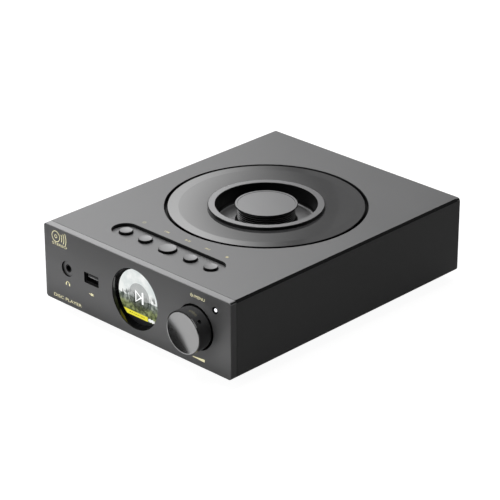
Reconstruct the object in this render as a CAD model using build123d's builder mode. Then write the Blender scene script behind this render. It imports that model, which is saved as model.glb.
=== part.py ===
"""Compact top-loading disc player with a headphone output, drawn piece by piece.

Millimetres.  X runs to the right seen from the front, Y to the rear, Z up.
The origin is the middle of the whole player's footprint, on the surface it stands on.
"""
import os

from build123d import *

os.makedirs("parts", exist_ok=True)

# ---- case -------------------------------------------------------------------
body_width = 188.0
body_depth = 240.0
body_height = 58.6
foot_height = 7.5
panel_thickness = 5.9
rear_thickness = 3.0
side_wall = 3.5
top_wall = 4.0
bottom_thickness = 2.0
panel_corner = 2.5
edge_chamfer = 1.75
seam_bevel = 0.35
hole_bevel = 0.25
top_bevel = 0.4
rail_width = 7.0
rail_height = 3.0
plate_gap = 0.1

# ---- feet and case screws ---------------------------------------------------
foot_radius = 14.0
foot_inset = 28.0
pad_radius = 11.0
pad_height = 1.5
pad_seat = 0.8
screw_head_radius = 2.75
screw_head_height = 1.6
screw_shank_radius = 1.5
screw_socket_radius = 1.3
screw_socket_depth = 0.9
rear_head_radius = 2.2
rear_shank_radius = 0.9
rear_screw_length = 9.0
rear_screw_inset = 7.0
rear_screw_edge = 3.0

# ---- front controls ---------------------------------------------------------
control_height = 29.3
display_radius = 22.9
display_lip = 0.6
bezel_wall = 0.6
display_depth = 4.5
glass_thickness = 1.0
display_module_width = 52.0
display_module_height = 49.0
display_module_depth = 4.0
knob_x = 60.3
knob_radius = 16.0
knob_gap = 0.8
knob_out = 12.3
knob_sunk = 3.6
knob_dish = 1.3
knob_rim = 1.1
knob_socket_radius = 8.5
knob_travel = 0.5
set_screw_out = 7.6
set_screw_angle = 43.0
set_screw_radius = 1.5
encoder_shaft_radius = 3.0
encoder_bush_radius = 3.6
encoder_nut_radius = 6.0
encoder_nut_height = 2.0
encoder_width = 13.0
running_gap = 0.06
bracket_thickness = 1.0
board_thickness = 1.6
front_board_drop = 9.0
front_board_height = 38.6
jack_x = -70.1
jack_recess_radius = 5.75
jack_recess_depth = 1.3
jack_barrel_radius = 4.5
jack_bore_radius = 2.25
jack_bore_depth = 15.0
jack_block = 12.5
usb_x = -44.6
usb_width = 14.6
usb_height = 7.9
usb_shell_wall = 0.9
usb_depth = 13.0
light_x = 79.0
light_height = 48.3
light_hole_radius = 2.4
light_pipe_radius = 1.5
light_recess = 0.8

# ---- button row -------------------------------------------------------------
button_y = -87.3
slot_length = 106.0
slot_width = 19.4
slot_depth = 2.5
button_pitch = 20.0
centre_gap = 22.6
small_button_radius = 5.1
large_button_radius = 6.6
button_drop = 0.6
button_dish = 0.3
button_clearance = 0.3
button_travel = 0.6
button_flange = 1.2
button_board_drop = 11.5
switch_size = 6.0
switch_height = 3.5

# ---- disc well and drive ----------------------------------------------------
lid_y = 12.5
lid_hole_radius = 74.2
lid_gap = 1.9
lid_thickness = 3.0
lid_dish = 1.0
lid_flat_width = 8.3
lid_seat_gap = 0.3
well_radius = 68.0
well_wall = 2.0
well_flange_width = 6.0
seat_drop = 20.2
disc_thickness = 1.2
well_drop = 22.7
well_floor = 1.8
damper_height = 3.5
damper_radius = 4.0
drive_plate_thickness = 1.6
drive_plate_width = 96.0
turntable_radius = 13.5
spindle_boss_radius = 7.3
spindle_radius = 1.0
motor_radius = 12.0
motor_height = 8.4
sled_start = 24.0
sled_travel = 34.0
sled_half_width = 16.0
turret_half = 7.0
rod_radius = 1.5
rod_spacing = 44.0
rod_drop = 36.0
lead_screw_radius = 2.0
lead_screw_x = -30.0

# ---- lid --------------------------------------------------------------------
collar_radius = 42.8
bowl_radius = 37.4
collar_rise = 1.3
bowl_depth = 12.0
bowl_cove = 2.8
bowl_wall = 2.0
grip_radius = 23.0
grip_neck_radius = 21.3
grip_rise = 1.4
grip_rim = 1.8
clamp_radius = 15.0
clamp_pad_radius = 12.5
clamp_gap = 0.4
cage_wall = 3.0

# ---- rear sockets and boards ------------------------------------------------
rear_out = 12.3
socket_height = 21.0
line_jack_left_x = -66.0
line_jack_spacing = 20.0
line_barrel_radius = 4.15
line_bore_radius = 3.3
line_pin_radius = 1.65
line_flange_radius = 6.2
line_flange_height = 2.8
optical_x = -18.0
optical_width = 10.0
inlet_x = 60.0
inlet_width = 27.0
inlet_height = 19.6
inlet_flange = 2.0
inlet_depth = 17.0
inlet_wall = 1.6
switch_x = 26.0
rocker_width = 10.4
rocker_half_height = 7.5
rocker_gap = 0.4
rocker_tilt = 8.0
main_board_lift = 6.0
standoff_radius = 3.0
capacitor_radius = 8.0
capacitor_height = 20.0

# ---- levels and planes that follow from the sizes ---------------------------
lid_radius = lid_hole_radius - lid_gap
centre_shift = (knob_out - rear_out) / 2
y_front = -body_depth / 2 + centre_shift
y_rear = body_depth / 2 + centre_shift
y_panel_back = y_front + panel_thickness
y_sleeve_end = y_rear - rear_thickness
y_board = y_panel_back + front_board_drop
z_under = foot_height
z_top = foot_height + body_height
z_control = z_under + control_height
z_socket = z_under + socket_height
z_floor = z_under + bottom_thickness
inner_width = body_width - 2 * side_wall
z_well = z_top - well_drop
z_well_under = z_well - well_floor
z_drive = z_well_under - damper_height
z_drive_under = z_drive - drive_plate_thickness
z_rod = z_top - rod_drop
z_main = z_floor + main_board_lift
lid_axis = Axis((0, lid_y, 0), (0, 0, 1))
knob_axis = Axis((knob_x, 0, z_control), (0, 1, 0))


rail_x = inner_width / 2 - rail_width / 2
foot_x = body_width / 2 - foot_inset
foot_y = body_depth / 2 - foot_inset
bottom_screw_spots = []
rear_screw_spots = []
foot_spots = []
for side in (-1, 1):
    for share in (-0.42, 0.0, 0.42):
        bottom_screw_spots.append((side * rail_x, share * body_depth + centre_shift))
    for end in (-1, 1):
        foot_spots.append((side * foot_x, end * foot_y + centre_shift))
    for screw_z in (z_under + rear_screw_edge, z_top - rear_screw_edge):
        rear_screw_spots.append((side * (body_width / 2 - rear_screw_inset), screw_z))
button_spots = [(0, large_button_radius)]
for side in (-1, 1):
    for step in range(2):
        button_spots.append((side * (centre_gap + step * button_pitch), small_button_radius))
line_jack_spots = [line_jack_left_x, line_jack_left_x + line_jack_spacing]


def facing(y):
    """Plane square to Y at depth y, with its own x as X and its own y as Z."""
    return Plane.XZ.offset(-y)


def level(z):
    """Level plane at height z."""
    return Plane.XY.offset(z)


def save(piece, name):
    """Label a finished piece and write its STEP file."""
    piece.part.label = name
    export_step(piece.part, f"parts/{name}.step")


# =============================================================================
# Front panel: thick aluminium plate with soft corners and all the front openings.
with BuildPart() as front_panel:
    with BuildSketch(facing(y_front)):
        with Locations((0, z_under + body_height / 2)):
            RectangleRounded(body_width, body_height, panel_corner)
    extrude(amount=-panel_thickness)
    chamfer(front_panel.faces().sort_by(Axis.Y)[-1].outer_wire().edges(), seam_bevel)
    chamfer(front_panel.faces().sort_by(Axis.Y)[0].outer_wire().edges(), seam_bevel)
    with BuildSketch(facing(y_front)):
        with Locations((0, z_control)):
            Circle(display_radius)
        with Locations((knob_x, z_control)):
            Circle(knob_radius + knob_gap)
        with Locations((jack_x, z_control)):
            Circle(jack_barrel_radius)
        with Locations((usb_x, z_control)):
            RectangleRounded(usb_width, usb_height, 0.4)
        with Locations((light_x, z_under + light_height)):
            Circle(light_hole_radius)
    extrude(amount=-panel_thickness, mode=Mode.SUBTRACT)
    with BuildSketch(facing(y_front)):
        with Locations((jack_x, z_control)):
            Circle(jack_recess_radius)
    extrude(amount=-jack_recess_depth, mode=Mode.SUBTRACT)
    with BuildSketch(facing(y_panel_back)):
        with Locations((0, z_control)):
            Circle(display_radius + bezel_wall)
    extrude(amount=panel_thickness - display_lip, mode=Mode.SUBTRACT)
    chamfer(front_panel.faces().sort_by(Axis.Y)[0].inner_wires().edges(), hole_bevel)
save(front_panel, "front_panel")

# Sleeve: top and two sides in one aluminium piece, with rails for the bottom plate.
with BuildPart() as case_sleeve:
    with BuildSketch(facing(y_panel_back)) as sleeve_section:
        with Locations((0, z_under)):
            Rectangle(body_width, body_height, align=(Align.CENTER, Align.MIN))
        chamfer(sleeve_section.vertices().group_by(Axis.Y)[-1], edge_chamfer)
        fillet(sleeve_section.vertices().group_by(Axis.Y)[0], panel_corner)
        with Locations((0, z_under)):
            Rectangle(inner_width, body_height - top_wall, align=(Align.CENTER, Align.MIN), mode=Mode.SUBTRACT)
        with Locations((-inner_width / 2, z_floor)):
            Rectangle(rail_width, rail_height, align=(Align.MIN, Align.MIN))
        with Locations((inner_width / 2, z_floor)):
            Rectangle(rail_width, rail_height, align=(Align.MAX, Align.MIN))
    extrude(amount=-(y_sleeve_end - y_panel_back))
    with BuildSketch(level(z_top)):
        with Locations((0, lid_y)):
            Circle(lid_hole_radius)
    extrude(amount=-top_wall, mode=Mode.SUBTRACT)
    with BuildSketch(level(z_top)):
        with Locations((0, button_y)):
            SlotOverall(slot_length, slot_width)
    extrude(amount=-slot_depth, mode=Mode.SUBTRACT)
    with BuildSketch(level(z_top)):
        for spot_x, spot_radius in button_spots:
            with Locations((spot_x, button_y)):
                Circle(spot_radius + button_clearance)
    extrude(amount=-top_wall, mode=Mode.SUBTRACT)
    chamfer(case_sleeve.faces().sort_by(Axis.Z)[-1].inner_wires().edges(), top_bevel)
    with BuildSketch(level(z_under)):
        with Locations(*bottom_screw_spots):
            Circle(screw_shank_radius)
    extrude(amount=bottom_thickness + rail_height, mode=Mode.SUBTRACT)
    with BuildSketch(facing(y_sleeve_end)):
        with Locations(*rear_screw_spots):
            Circle(rear_shank_radius)
    extrude(amount=rear_screw_length - rear_thickness, mode=Mode.SUBTRACT)
save(case_sleeve, "case_sleeve")

# Bottom plate: steel sheet between the side walls, screwed up against the rails.
with BuildPart() as bottom_plate:
    with BuildSketch(level(z_under)):
        with Locations((0, (y_panel_back + y_sleeve_end) / 2)):
            Rectangle(inner_width - 2 * plate_gap, y_sleeve_end - y_panel_back)
        with Locations(*bottom_screw_spots):
            Circle(screw_shank_radius, mode=Mode.SUBTRACT)
    extrude(amount=bottom_thickness)
save(bottom_plate, "bottom_plate")

# Rear panel: plain plate with the socket openings.
rocker_opening = rocker_width + 2 * rocker_gap
rocker_height = 2 * (rocker_half_height + 1.1)
with BuildPart() as rear_panel:
    with BuildSketch(facing(y_rear)):
        with Locations((0, z_under + body_height / 2)):
            RectangleRounded(body_width, body_height, panel_corner)
        for spot_x in line_jack_spots:
            with Locations((spot_x, z_socket)):
                Circle(line_barrel_radius + 0.4, mode=Mode.SUBTRACT)
        with Locations((optical_x, z_socket)):
            Rectangle(optical_width, optical_width, mode=Mode.SUBTRACT)
        with Locations((inlet_x, z_socket)):
            Rectangle(inlet_width, inlet_height, mode=Mode.SUBTRACT)
        with Locations((switch_x, z_socket)):
            Rectangle(rocker_opening + 2, rocker_height + 2, mode=Mode.SUBTRACT)
        with Locations(*rear_screw_spots):
            Circle(rear_shank_radius, mode=Mode.SUBTRACT)
    extrude(amount=rear_thickness)
    chamfer(rear_panel.faces().sort_by(Axis.Y)[-1].outer_wire().edges(), seam_bevel)
save(rear_panel, "rear_panel")

# Bottom screws: pan heads under the plate, shanks up into the rails.
with BuildPart() as bottom_screws:
    with BuildSketch(level(z_under)):
        with Locations(*bottom_screw_spots):
            Circle(screw_head_radius)
    extrude(amount=-screw_head_height)
    chamfer(bottom_screws.faces().group_by(Axis.Z)[0].edges(), 0.4)
    with BuildSketch(level(z_under)):
        with Locations(*bottom_screw_spots):
            Circle(screw_shank_radius)
    extrude(amount=bottom_thickness + rail_height)
    with BuildSketch(level(z_under - screw_head_height)):
        with Locations(*bottom_screw_spots):
            RegularPolygon(screw_socket_radius, 6)
    extrude(amount=screw_socket_depth, mode=Mode.SUBTRACT)
save(bottom_screws, "bottom_screws")

# Rear screws: four small heads near the corners, with shanks into the ends of the sleeve.
with BuildPart() as rear_screws:
    with BuildSketch(facing(y_rear)):
        with Locations(*rear_screw_spots):
            Circle(rear_head_radius)
    extrude(amount=-screw_head_height)
    chamfer(rear_screws.faces().group_by(Axis.Y)[-1].edges(), 0.4)
    with BuildSketch(facing(y_rear)):
        with Locations(*rear_screw_spots):
            Circle(rear_shank_radius)
    extrude(amount=rear_screw_length)
    with BuildSketch(facing(y_rear + screw_head_height)):
        with Locations(*rear_screw_spots):
            RegularPolygon(screw_socket_radius, 6)
    extrude(amount=screw_socket_depth, mode=Mode.SUBTRACT)
save(rear_screws, "rear_screws")

# Feet: four turned aluminium cups with a rubber pad let into each.
with BuildPart() as feet:
    with BuildSketch(level(pad_height)):
        with Locations(*foot_spots):
            Circle(foot_radius)
    extrude(amount=foot_height - pad_height)
    chamfer(feet.faces().group_by(Axis.Z)[0].edges(), 0.8)
    with BuildSketch(level(pad_height)):
        with Locations(*foot_spots):
            Circle(pad_radius)
    extrude(amount=pad_seat, mode=Mode.SUBTRACT)
save(feet, "feet")

with BuildPart() as foot_pads:
    with BuildSketch(level(0)):
        with Locations(*foot_spots):
            Circle(pad_radius)
    extrude(amount=pad_height + pad_seat)
    chamfer(foot_pads.faces().group_by(Axis.Z)[0].edges(), 0.3)
save(foot_pads, "foot_pads")

# =============================================================================
# Display: gloss black bezel tube behind the panel lip, a round glass and the module.
with BuildPart() as display_bezel:
    with BuildSketch(facing(y_front + display_lip)):
        with Locations((0, z_control)):
            Circle(display_radius + bezel_wall)
            Circle(display_radius, mode=Mode.SUBTRACT)
    extrude(amount=-(display_depth - display_lip))
save(display_bezel, "display_bezel")

with BuildPart() as display_glass:
    with BuildSketch(facing(y_front + display_depth)):
        with Locations((0, z_control)):
            Circle(display_radius + bezel_wall)
    extrude(amount=-glass_thickness)
save(display_glass, "display_glass")

with BuildPart() as display_module:
    with BuildSketch(facing(y_front + display_depth + glass_thickness)):
        with Locations((0, z_control)):
            Circle(display_radius)
    extrude(amount=-(panel_thickness - display_depth - glass_thickness))
    with BuildSketch(facing(y_panel_back)):
        with Locations((0, z_control)):
            RectangleRounded(display_module_width, display_module_height, 1.5)
    extrude(amount=-display_module_depth)
    with BuildSketch(facing(y_panel_back + display_module_depth)):
        with Locations((0, z_control)):
            Rectangle(display_module_width / 2, display_module_width / 3)
    extrude(amount=-(front_board_drop - display_module_depth))
save(display_module, "display_module")

# Front board: upright circuit board that carries the jack, socket, encoder and light.
with BuildPart() as front_board:
    with BuildSketch(facing(y_board)):
        with Locations((0, z_control)):
            Rectangle(inner_width - 3, front_board_height)
        with Locations((jack_x, z_control)):
            Rectangle(jack_block, jack_block, mode=Mode.SUBTRACT)
    extrude(amount=-board_thickness)
save(front_board, "front_board")

# Status light pipe: clear rod with a collar that fills the panel hole from behind.
with BuildPart() as light_pipe:
    with BuildSketch(facing(y_front + light_recess)):
        with Locations((light_x, z_under + light_height)):
            Circle(light_pipe_radius)
    extrude(amount=-(y_board - y_front - light_recess))
    with BuildSketch(facing(y_panel_back)):
        with Locations((light_x, z_under + light_height)):
            Circle(light_hole_radius)
    extrude(amount=panel_thickness / 2)
save(light_pipe, "light_pipe")

# Encoder: steel bracket over the knob hole, body behind it, bush and nut through it.
with BuildPart() as encoder_bracket:
    with BuildSketch(facing(y_panel_back)):
        with Locations((knob_x, z_control)):
            Circle(knob_radius + knob_gap + 1.6)
            Circle(encoder_bush_radius, mode=Mode.SUBTRACT)
    extrude(amount=-bracket_thickness)
save(encoder_bracket, "encoder_bracket")

y_bush = y_panel_back - encoder_nut_height - 1.0
encoder_floor = 2.0
with BuildPart() as encoder_body:
    with BuildSketch(facing(y_panel_back + bracket_thickness)):
        with Locations((knob_x, z_control)):
            Rectangle(encoder_width, encoder_width)
    extrude(amount=-(front_board_drop - bracket_thickness))
    with BuildSketch(facing(y_bush)):
        with Locations((knob_x, z_control)):
            Circle(encoder_bush_radius)
    extrude(amount=-(y_panel_back + bracket_thickness - y_bush))
    with BuildSketch(facing(y_bush)):
        with Locations((knob_x, z_control)):
            Circle(encoder_shaft_radius + running_gap)
    extrude(amount=-(y_board - encoder_floor - y_bush), mode=Mode.SUBTRACT)
save(encoder_body, "encoder_body")

with BuildPart() as encoder_nut:
    with BuildSketch(facing(y_panel_back)):
        with Locations((knob_x, z_control)):
            RegularPolygon(encoder_nut_radius, 6)
            Circle(encoder_bush_radius, mode=Mode.SUBTRACT)
    extrude(amount=encoder_nut_height)
save(encoder_nut, "encoder_nut")

plunger_height = 1.5
y_plunger = y_board - encoder_floor - knob_travel - 0.3 - plunger_height
with BuildPart() as encoder_plunger:
    with BuildSketch(facing(y_plunger)):
        with Locations((knob_x, z_control)):
            Circle(encoder_shaft_radius)
    extrude(amount=-plunger_height)
save(encoder_plunger, "encoder_plunger")

knob_bore_end = y_front - knob_out + 4.0
with BuildPart() as encoder_shaft:
    with BuildSketch(facing(knob_bore_end)):
        with Locations((knob_x, z_control)):
            Circle(encoder_shaft_radius)
    extrude(amount=-(y_plunger - 0.1 - knob_bore_end))
save(encoder_shaft, "encoder_shaft")

# Volume knob: turned aluminium, dished face inside a thin rim, hollow round the nut.
y_knob = y_front - knob_out
y_knob_back = y_front + knob_sunk
y_socket = y_bush - knob_travel - 0.6
dish_radius = knob_radius - knob_rim
with BuildPart() as volume_knob:
    with BuildSketch(level(z_control)):
        with BuildLine():
            ThreePointArc(
                (knob_x, y_knob + knob_dish),
                (knob_x + dish_radius / 2, y_knob + 0.75 * knob_dish),
                (knob_x + dish_radius, y_knob),
            )
            Polyline(
                (knob_x + dish_radius, y_knob),
                (knob_x + knob_radius - 0.4, y_knob),
                (knob_x + knob_radius, y_knob + 0.4),
                (knob_x + knob_radius, y_knob_back),
                (knob_x + knob_socket_radius, y_knob_back),
                (knob_x + knob_socket_radius, y_socket),
                (knob_x + encoder_shaft_radius, y_socket),
                (knob_x + encoder_shaft_radius, knob_bore_end),
                (knob_x, knob_bore_end),
                (knob_x, y_knob + knob_dish),
            )
        make_face()
    revolve(axis=knob_axis)
    screw_centre = (knob_x, y_front - set_screw_out, z_control)
    screw_plane = Plane(screw_centre, x_dir=(0, 1, 0), z_dir=Vector(1, 0, 0).rotate(Axis.Y, -set_screw_angle))
    with BuildSketch(screw_plane):
        Circle(set_screw_radius)
    extrude(amount=knob_radius + 1, mode=Mode.SUBTRACT)
    with BuildSketch(facing(knob_bore_end)):
        with Locations((knob_x, z_control)):
            Circle(encoder_shaft_radius)
    extrude(amount=-(y_socket - knob_bore_end), mode=Mode.SUBTRACT)
save(volume_knob, "volume_knob")

with BuildPart() as knob_set_screw:
    with BuildSketch(screw_plane.offset(encoder_shaft_radius)):
        Circle(set_screw_radius)
    extrude(amount=knob_radius - encoder_shaft_radius - 1.2)
    with BuildSketch(screw_plane.offset(knob_radius - 1.2)):
        RegularPolygon(0.8, 6)
    extrude(amount=-1.2, mode=Mode.SUBTRACT)
save(knob_set_screw, "knob_set_screw")

# Headphone jack: round barrel seated in the panel recess, square block through the board.
with BuildPart() as headphone_jack:
    with BuildSketch(facing(y_front + jack_recess_depth)):
        with Locations((jack_x, z_control)):
            Circle(jack_barrel_radius)
    extrude(amount=-(panel_thickness - jack_recess_depth))
    with BuildSketch(facing(y_panel_back)):
        with Locations((jack_x, z_control)):
            Rectangle(jack_block, jack_block)
    extrude(amount=-(jack_bore_depth + 1.0))
    with BuildSketch(facing(y_front + jack_recess_depth)):
        with Locations((jack_x, z_control)):
            Circle(jack_bore_radius)
    extrude(amount=-jack_bore_depth, mode=Mode.SUBTRACT)
save(headphone_jack, "headphone_jack")

# USB socket: pressed steel shell just behind the panel face, with its contact tongue.
usb_recess = 1.0
usb_outer_width = usb_width - 0.2
usb_outer_height = usb_height - 0.2
with BuildPart() as usb_shell:
    with BuildSketch(facing(y_front + usb_recess)):
        with Locations((usb_x, z_control)):
            RectangleRounded(usb_outer_width, usb_outer_height, 0.4)
    extrude(amount=-(y_board - y_front - usb_recess))
    with BuildSketch(facing(y_front + usb_recess)):
        with Locations((usb_x, z_control)):
            Rectangle(usb_outer_width - 2 * usb_shell_wall, usb_outer_height - 2 * usb_shell_wall)
    extrude(amount=-(usb_depth - 1), mode=Mode.SUBTRACT)
save(usb_shell, "usb_shell")

with BuildPart() as usb_tongue:
    with BuildSketch(facing(y_front + usb_recess + 1)):
        with Locations((usb_x, z_control + 0.9)):
            Rectangle(usb_outer_width - 2 * usb_shell_wall - 1.6, 1.9)
    extrude(amount=-(usb_depth - 2))
save(usb_tongue, "usb_tongue")

# =============================================================================
# Button row: five flanged caps over switches on their own small board.
z_button_board = z_top - button_board_drop
board_post_x = slot_length / 2
board_post_y = 8.0
with BuildPart() as button_board:
    with BuildSketch(level(z_button_board)):
        with Locations((0, button_y)):
            Rectangle(slot_length + 10, 2 * board_post_y + 7)
    extrude(amount=-board_thickness)
save(button_board, "button_board")

with BuildPart() as button_standoffs:
    with BuildSketch(level(z_button_board)):
        with Locations((0, button_y)):
            with GridLocations(2 * board_post_x, 2 * board_post_y, 2, 2):
                Circle(2.4)
    extrude(amount=button_board_drop - top_wall)
save(button_standoffs, "button_standoffs")

z_cap = z_top - button_drop
z_flange = z_top - top_wall - 0.4
z_stem = z_button_board + switch_height + 0.8 + 0.3 + button_travel
with BuildPart() as button_switches:
    with BuildSketch(level(z_button_board)):
        for spot_x, spot_radius in button_spots:
            with Locations((spot_x, button_y)):
                RectangleRounded(switch_size, switch_size, 0.6)
    extrude(amount=switch_height)
    with BuildSketch(level(z_button_board + switch_height)):
        for spot_x, spot_radius in button_spots:
            with Locations((spot_x, button_y)):
                Circle(1.7)
    extrude(amount=0.8)
save(button_switches, "button_switches")


def button_outline(spot_x, cap_radius):
    """Half section of a button cap with its flange and stem, drawn out from its axis."""
    with BuildLine() as outline:
        ThreePointArc(
            (spot_x, z_cap - button_dish),
            (spot_x + cap_radius / 2 - 0.2, z_cap - 0.75 * button_dish),
            (spot_x + cap_radius - 0.4, z_cap),
        )
        Polyline(
            (spot_x + cap_radius - 0.4, z_cap),
            (spot_x + cap_radius, z_cap - 0.4),
            (spot_x + cap_radius, z_flange),
            (spot_x + cap_radius + button_flange, z_flange),
            (spot_x + cap_radius + button_flange, z_flange - button_flange),
            (spot_x + 1.8, z_flange - button_flange),
            (spot_x + 1.8, z_stem),
            (spot_x, z_stem),
            (spot_x, z_cap - button_dish),
        )
    return outline.line


def button_piece(spot_x, cap_radius):
    """One button cap turned about its own upright axis."""
    with BuildPart() as piece:
        with BuildSketch(Plane.XZ.offset(-button_y)):
            add(button_outline(spot_x, cap_radius))
            make_face()
        revolve(axis=Axis((spot_x, button_y, 0), (0, 0, 1)))
    return piece


button_names = {
    -centre_gap - button_pitch: "power_button",
    -centre_gap: "previous_button",
    0: "play_button",
    centre_gap: "next_button",
    centre_gap + button_pitch: "stop_button",
}
for spot_x, spot_radius in button_spots:
    save(button_piece(spot_x, spot_radius), button_names[spot_x])

# =============================================================================
# Disc well: moulded tub that fills the lid opening, with a ledge under the lid's rim.
z_ledge = z_top - lid_thickness - lid_seat_gap
ledge_radius = lid_hole_radius - 0.1
with BuildPart() as disc_well:
    with BuildSketch(Plane.XZ.offset(-lid_y)):
        Polygon(
            (0, z_well_under),
            (well_radius + well_wall, z_well_under),
            (well_radius + well_wall, z_top - top_wall - 2),
            (lid_hole_radius + well_flange_width, z_top - top_wall - 2),
            (lid_hole_radius + well_flange_width, z_top - top_wall),
            (ledge_radius, z_top - top_wall),
            (ledge_radius, z_ledge),
            (well_radius, z_ledge),
            (well_radius, z_well),
            (0, z_well),
            align=None,
        )
    revolve(axis=lid_axis)
    with BuildSketch(level(z_well)):
        with Locations((0, lid_y)):
            Circle(6.0)
        with Locations((0, lid_y - sled_start + turret_half + 1.5)):
            Rectangle(
                2 * turret_half + 7,
                sled_travel + 2 * turret_half + 2.5,
                align=(Align.CENTER, Align.MAX),
            )
    extrude(amount=-well_floor, mode=Mode.SUBTRACT)
save(disc_well, "disc_well")

# Drive plate hangs from the well on four rubber bushes and carries the motor and rods.
plate_front = lid_y - sled_start - sled_travel - 16
plate_back = lid_y + 30
plate_middle = (plate_front + plate_back) / 2
rod_front = plate_front + 2
rod_back = lid_y - 8
rod_block = 3.4
with BuildPart() as damper_bushes:
    with BuildSketch(level(z_drive)):
        with Locations((0, plate_middle)):
            with GridLocations(drive_plate_width - 14, plate_back - plate_front - 30, 2, 2):
                Circle(damper_radius)
                Circle(damper_radius / 2, mode=Mode.SUBTRACT)
    extrude(amount=damper_height)
save(damper_bushes, "damper_bushes")

with BuildPart() as drive_plate:
    with BuildSketch(level(z_drive)):
        with Locations((0, plate_middle)):
            RectangleRounded(drive_plate_width, plate_back - plate_front, 4)
        with Locations((0, lid_y)):
            Circle(3.0, mode=Mode.SUBTRACT)
        with Locations((0, lid_y - sled_start + 11)):
            Rectangle(
                2 * sled_half_width + 2,
                sled_travel + 23,
                align=(Align.CENTER, Align.MAX),
                mode=Mode.SUBTRACT,
            )
    extrude(amount=-drive_plate_thickness)
    with BuildSketch(level(z_drive_under)):
        for end in (rod_front, rod_back - rod_block):
            with Locations((0, end + rod_block / 2)):
                with GridLocations(rod_spacing, 1, 2, 1):
                    Rectangle(6, rod_block)
        with Locations((lead_screw_x, rod_front + rod_block / 2)):
            Rectangle(6, rod_block)
    extrude(amount=-(z_drive_under - z_rod + rod_radius + 1.5))
    with BuildSketch(facing(rod_front)):
        with Locations((-rod_spacing / 2, z_rod), (rod_spacing / 2, z_rod)):
            Circle(rod_radius)
        with Locations((lead_screw_x, z_rod)):
            Circle(1.0 + running_gap)
    extrude(amount=-(rod_back - rod_front), mode=Mode.SUBTRACT)
save(drive_plate, "drive_plate")

with BuildPart() as guide_rods:
    with BuildSketch(facing(rod_front)):
        with Locations((-rod_spacing / 2, z_rod), (rod_spacing / 2, z_rod)):
            Circle(rod_radius)
    extrude(amount=-(rod_back - rod_front))
save(guide_rods, "guide_rods")

with BuildPart() as spindle_motor:
    with BuildSketch(level(z_drive_under)):
        with Locations((0, lid_y)):
            Circle(motor_radius)
            Circle(spindle_radius + running_gap, mode=Mode.SUBTRACT)
    extrude(amount=-motor_height)
    chamfer(spindle_motor.faces().sort_by(Axis.Z)[0].outer_wire().edges(), 0.8)
save(spindle_motor, "spindle_motor")

# Sled motor and lead screw: the screw turns in the motor's bore and in the front block.
sled_motor_y = rod_back + 2
sled_motor_length = 14.0
sled_motor_radius = z_drive_under - z_rod
with BuildPart() as sled_motor:
    with BuildSketch(facing(sled_motor_y)):
        with Locations((lead_screw_x, z_rod)):
            Circle(sled_motor_radius)
            Rectangle(8, sled_motor_radius, align=(Align.CENTER, Align.MIN))
            Circle(1.0 + running_gap, mode=Mode.SUBTRACT)
    extrude(amount=-sled_motor_length)
save(sled_motor, "sled_motor")

with BuildPart() as lead_screw:
    with BuildSketch(facing(rod_front + 0.5)):
        with Locations((lead_screw_x, z_rod)):
            Circle(1.0)
    extrude(amount=-(sled_motor_y + 10 - rod_front))
    with BuildSketch(facing(rod_front + rod_block + 0.4)):
        with Locations((lead_screw_x, z_rod)):
            Circle(lead_screw_radius)
    extrude(amount=-(sled_motor_y - rod_front - rod_block - 0.8))
save(lead_screw, "lead_screw")

# Pickup: sled body with two bored ears on the rods, a turret through the well, a lens.
y_lens = lid_y - sled_start
z_sled = z_well_under - 0.5
z_sled_under = z_rod - rod_radius - 0.4
with BuildPart() as pickup_sled:
    with BuildSketch(level(z_sled)):
        with Locations((0, y_lens + 9)):
            Rectangle(2 * sled_half_width, 19, align=(Align.CENTER, Align.MAX))
    extrude(amount=-(z_sled - z_sled_under))
    with BuildSketch(level(z_rod + rod_radius + 1)):
        with Locations((0, y_lens - 0.5)):
            Rectangle(rod_spacing + 6, 19)
        with Locations((lead_screw_x + lead_screw_radius + 0.4, y_lens - 0.5)):
            Rectangle(5, 8, align=(Align.MIN, Align.CENTER))
    extrude(amount=-(2 * rod_radius + 1.4))
    with BuildSketch(level(z_sled)):
        with Locations((0, y_lens)):
            RectangleRounded(2 * turret_half + 4, 2 * turret_half, 1.5)
    extrude(amount=z_well - 0.7 - z_sled)
    with BuildSketch(facing(y_lens + 10)):
        with Locations((-rod_spacing / 2, z_rod), (rod_spacing / 2, z_rod)):
            Circle(rod_radius + running_gap)
    extrude(amount=22, mode=Mode.SUBTRACT)
save(pickup_sled, "pickup_sled")

with BuildPart() as pickup_lens:
    with BuildSketch(level(z_well - 0.7)):
        with Locations((0, y_lens)):
            Circle(3.6)
    extrude(amount=1.4)
    fillet(pickup_lens.faces().sort_by(Axis.Z)[-1].edges(), 0.9)
save(pickup_lens, "pickup_lens")

# Turntable: platter with a centring boss, hub and spindle in one turning, rubber seat on top.
z_seat = z_top - seat_drop
seat_pad = 0.5
with BuildPart() as turntable:
    with BuildSketch(Plane.XZ.offset(-lid_y)):
        Polygon(
            (0, z_seat + 2.6),
            (spindle_boss_radius - 1.8, z_seat + 2.6),
            (spindle_boss_radius, z_seat + 1.2),
            (spindle_boss_radius, z_seat - seat_pad),
            (turntable_radius, z_seat - seat_pad),
            (turntable_radius, z_well + 0.5),
            (4.5, z_well + 0.5),
            (4.5, z_drive + 1.0),
            (spindle_radius, z_drive + 1.0),
            (spindle_radius, z_drive_under - motor_height + 1.5),
            (0, z_drive_under - motor_height + 1.5),
            align=None,
        )
    revolve(axis=lid_axis)
save(turntable, "turntable")

with BuildPart() as turntable_pad:
    with BuildSketch(level(z_seat - seat_pad)):
        with Locations((0, lid_y)):
            Circle(turntable_radius)
            Circle(spindle_boss_radius, mode=Mode.SUBTRACT)
    extrude(amount=seat_pad)
save(turntable_pad, "turntable_pad")

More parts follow.
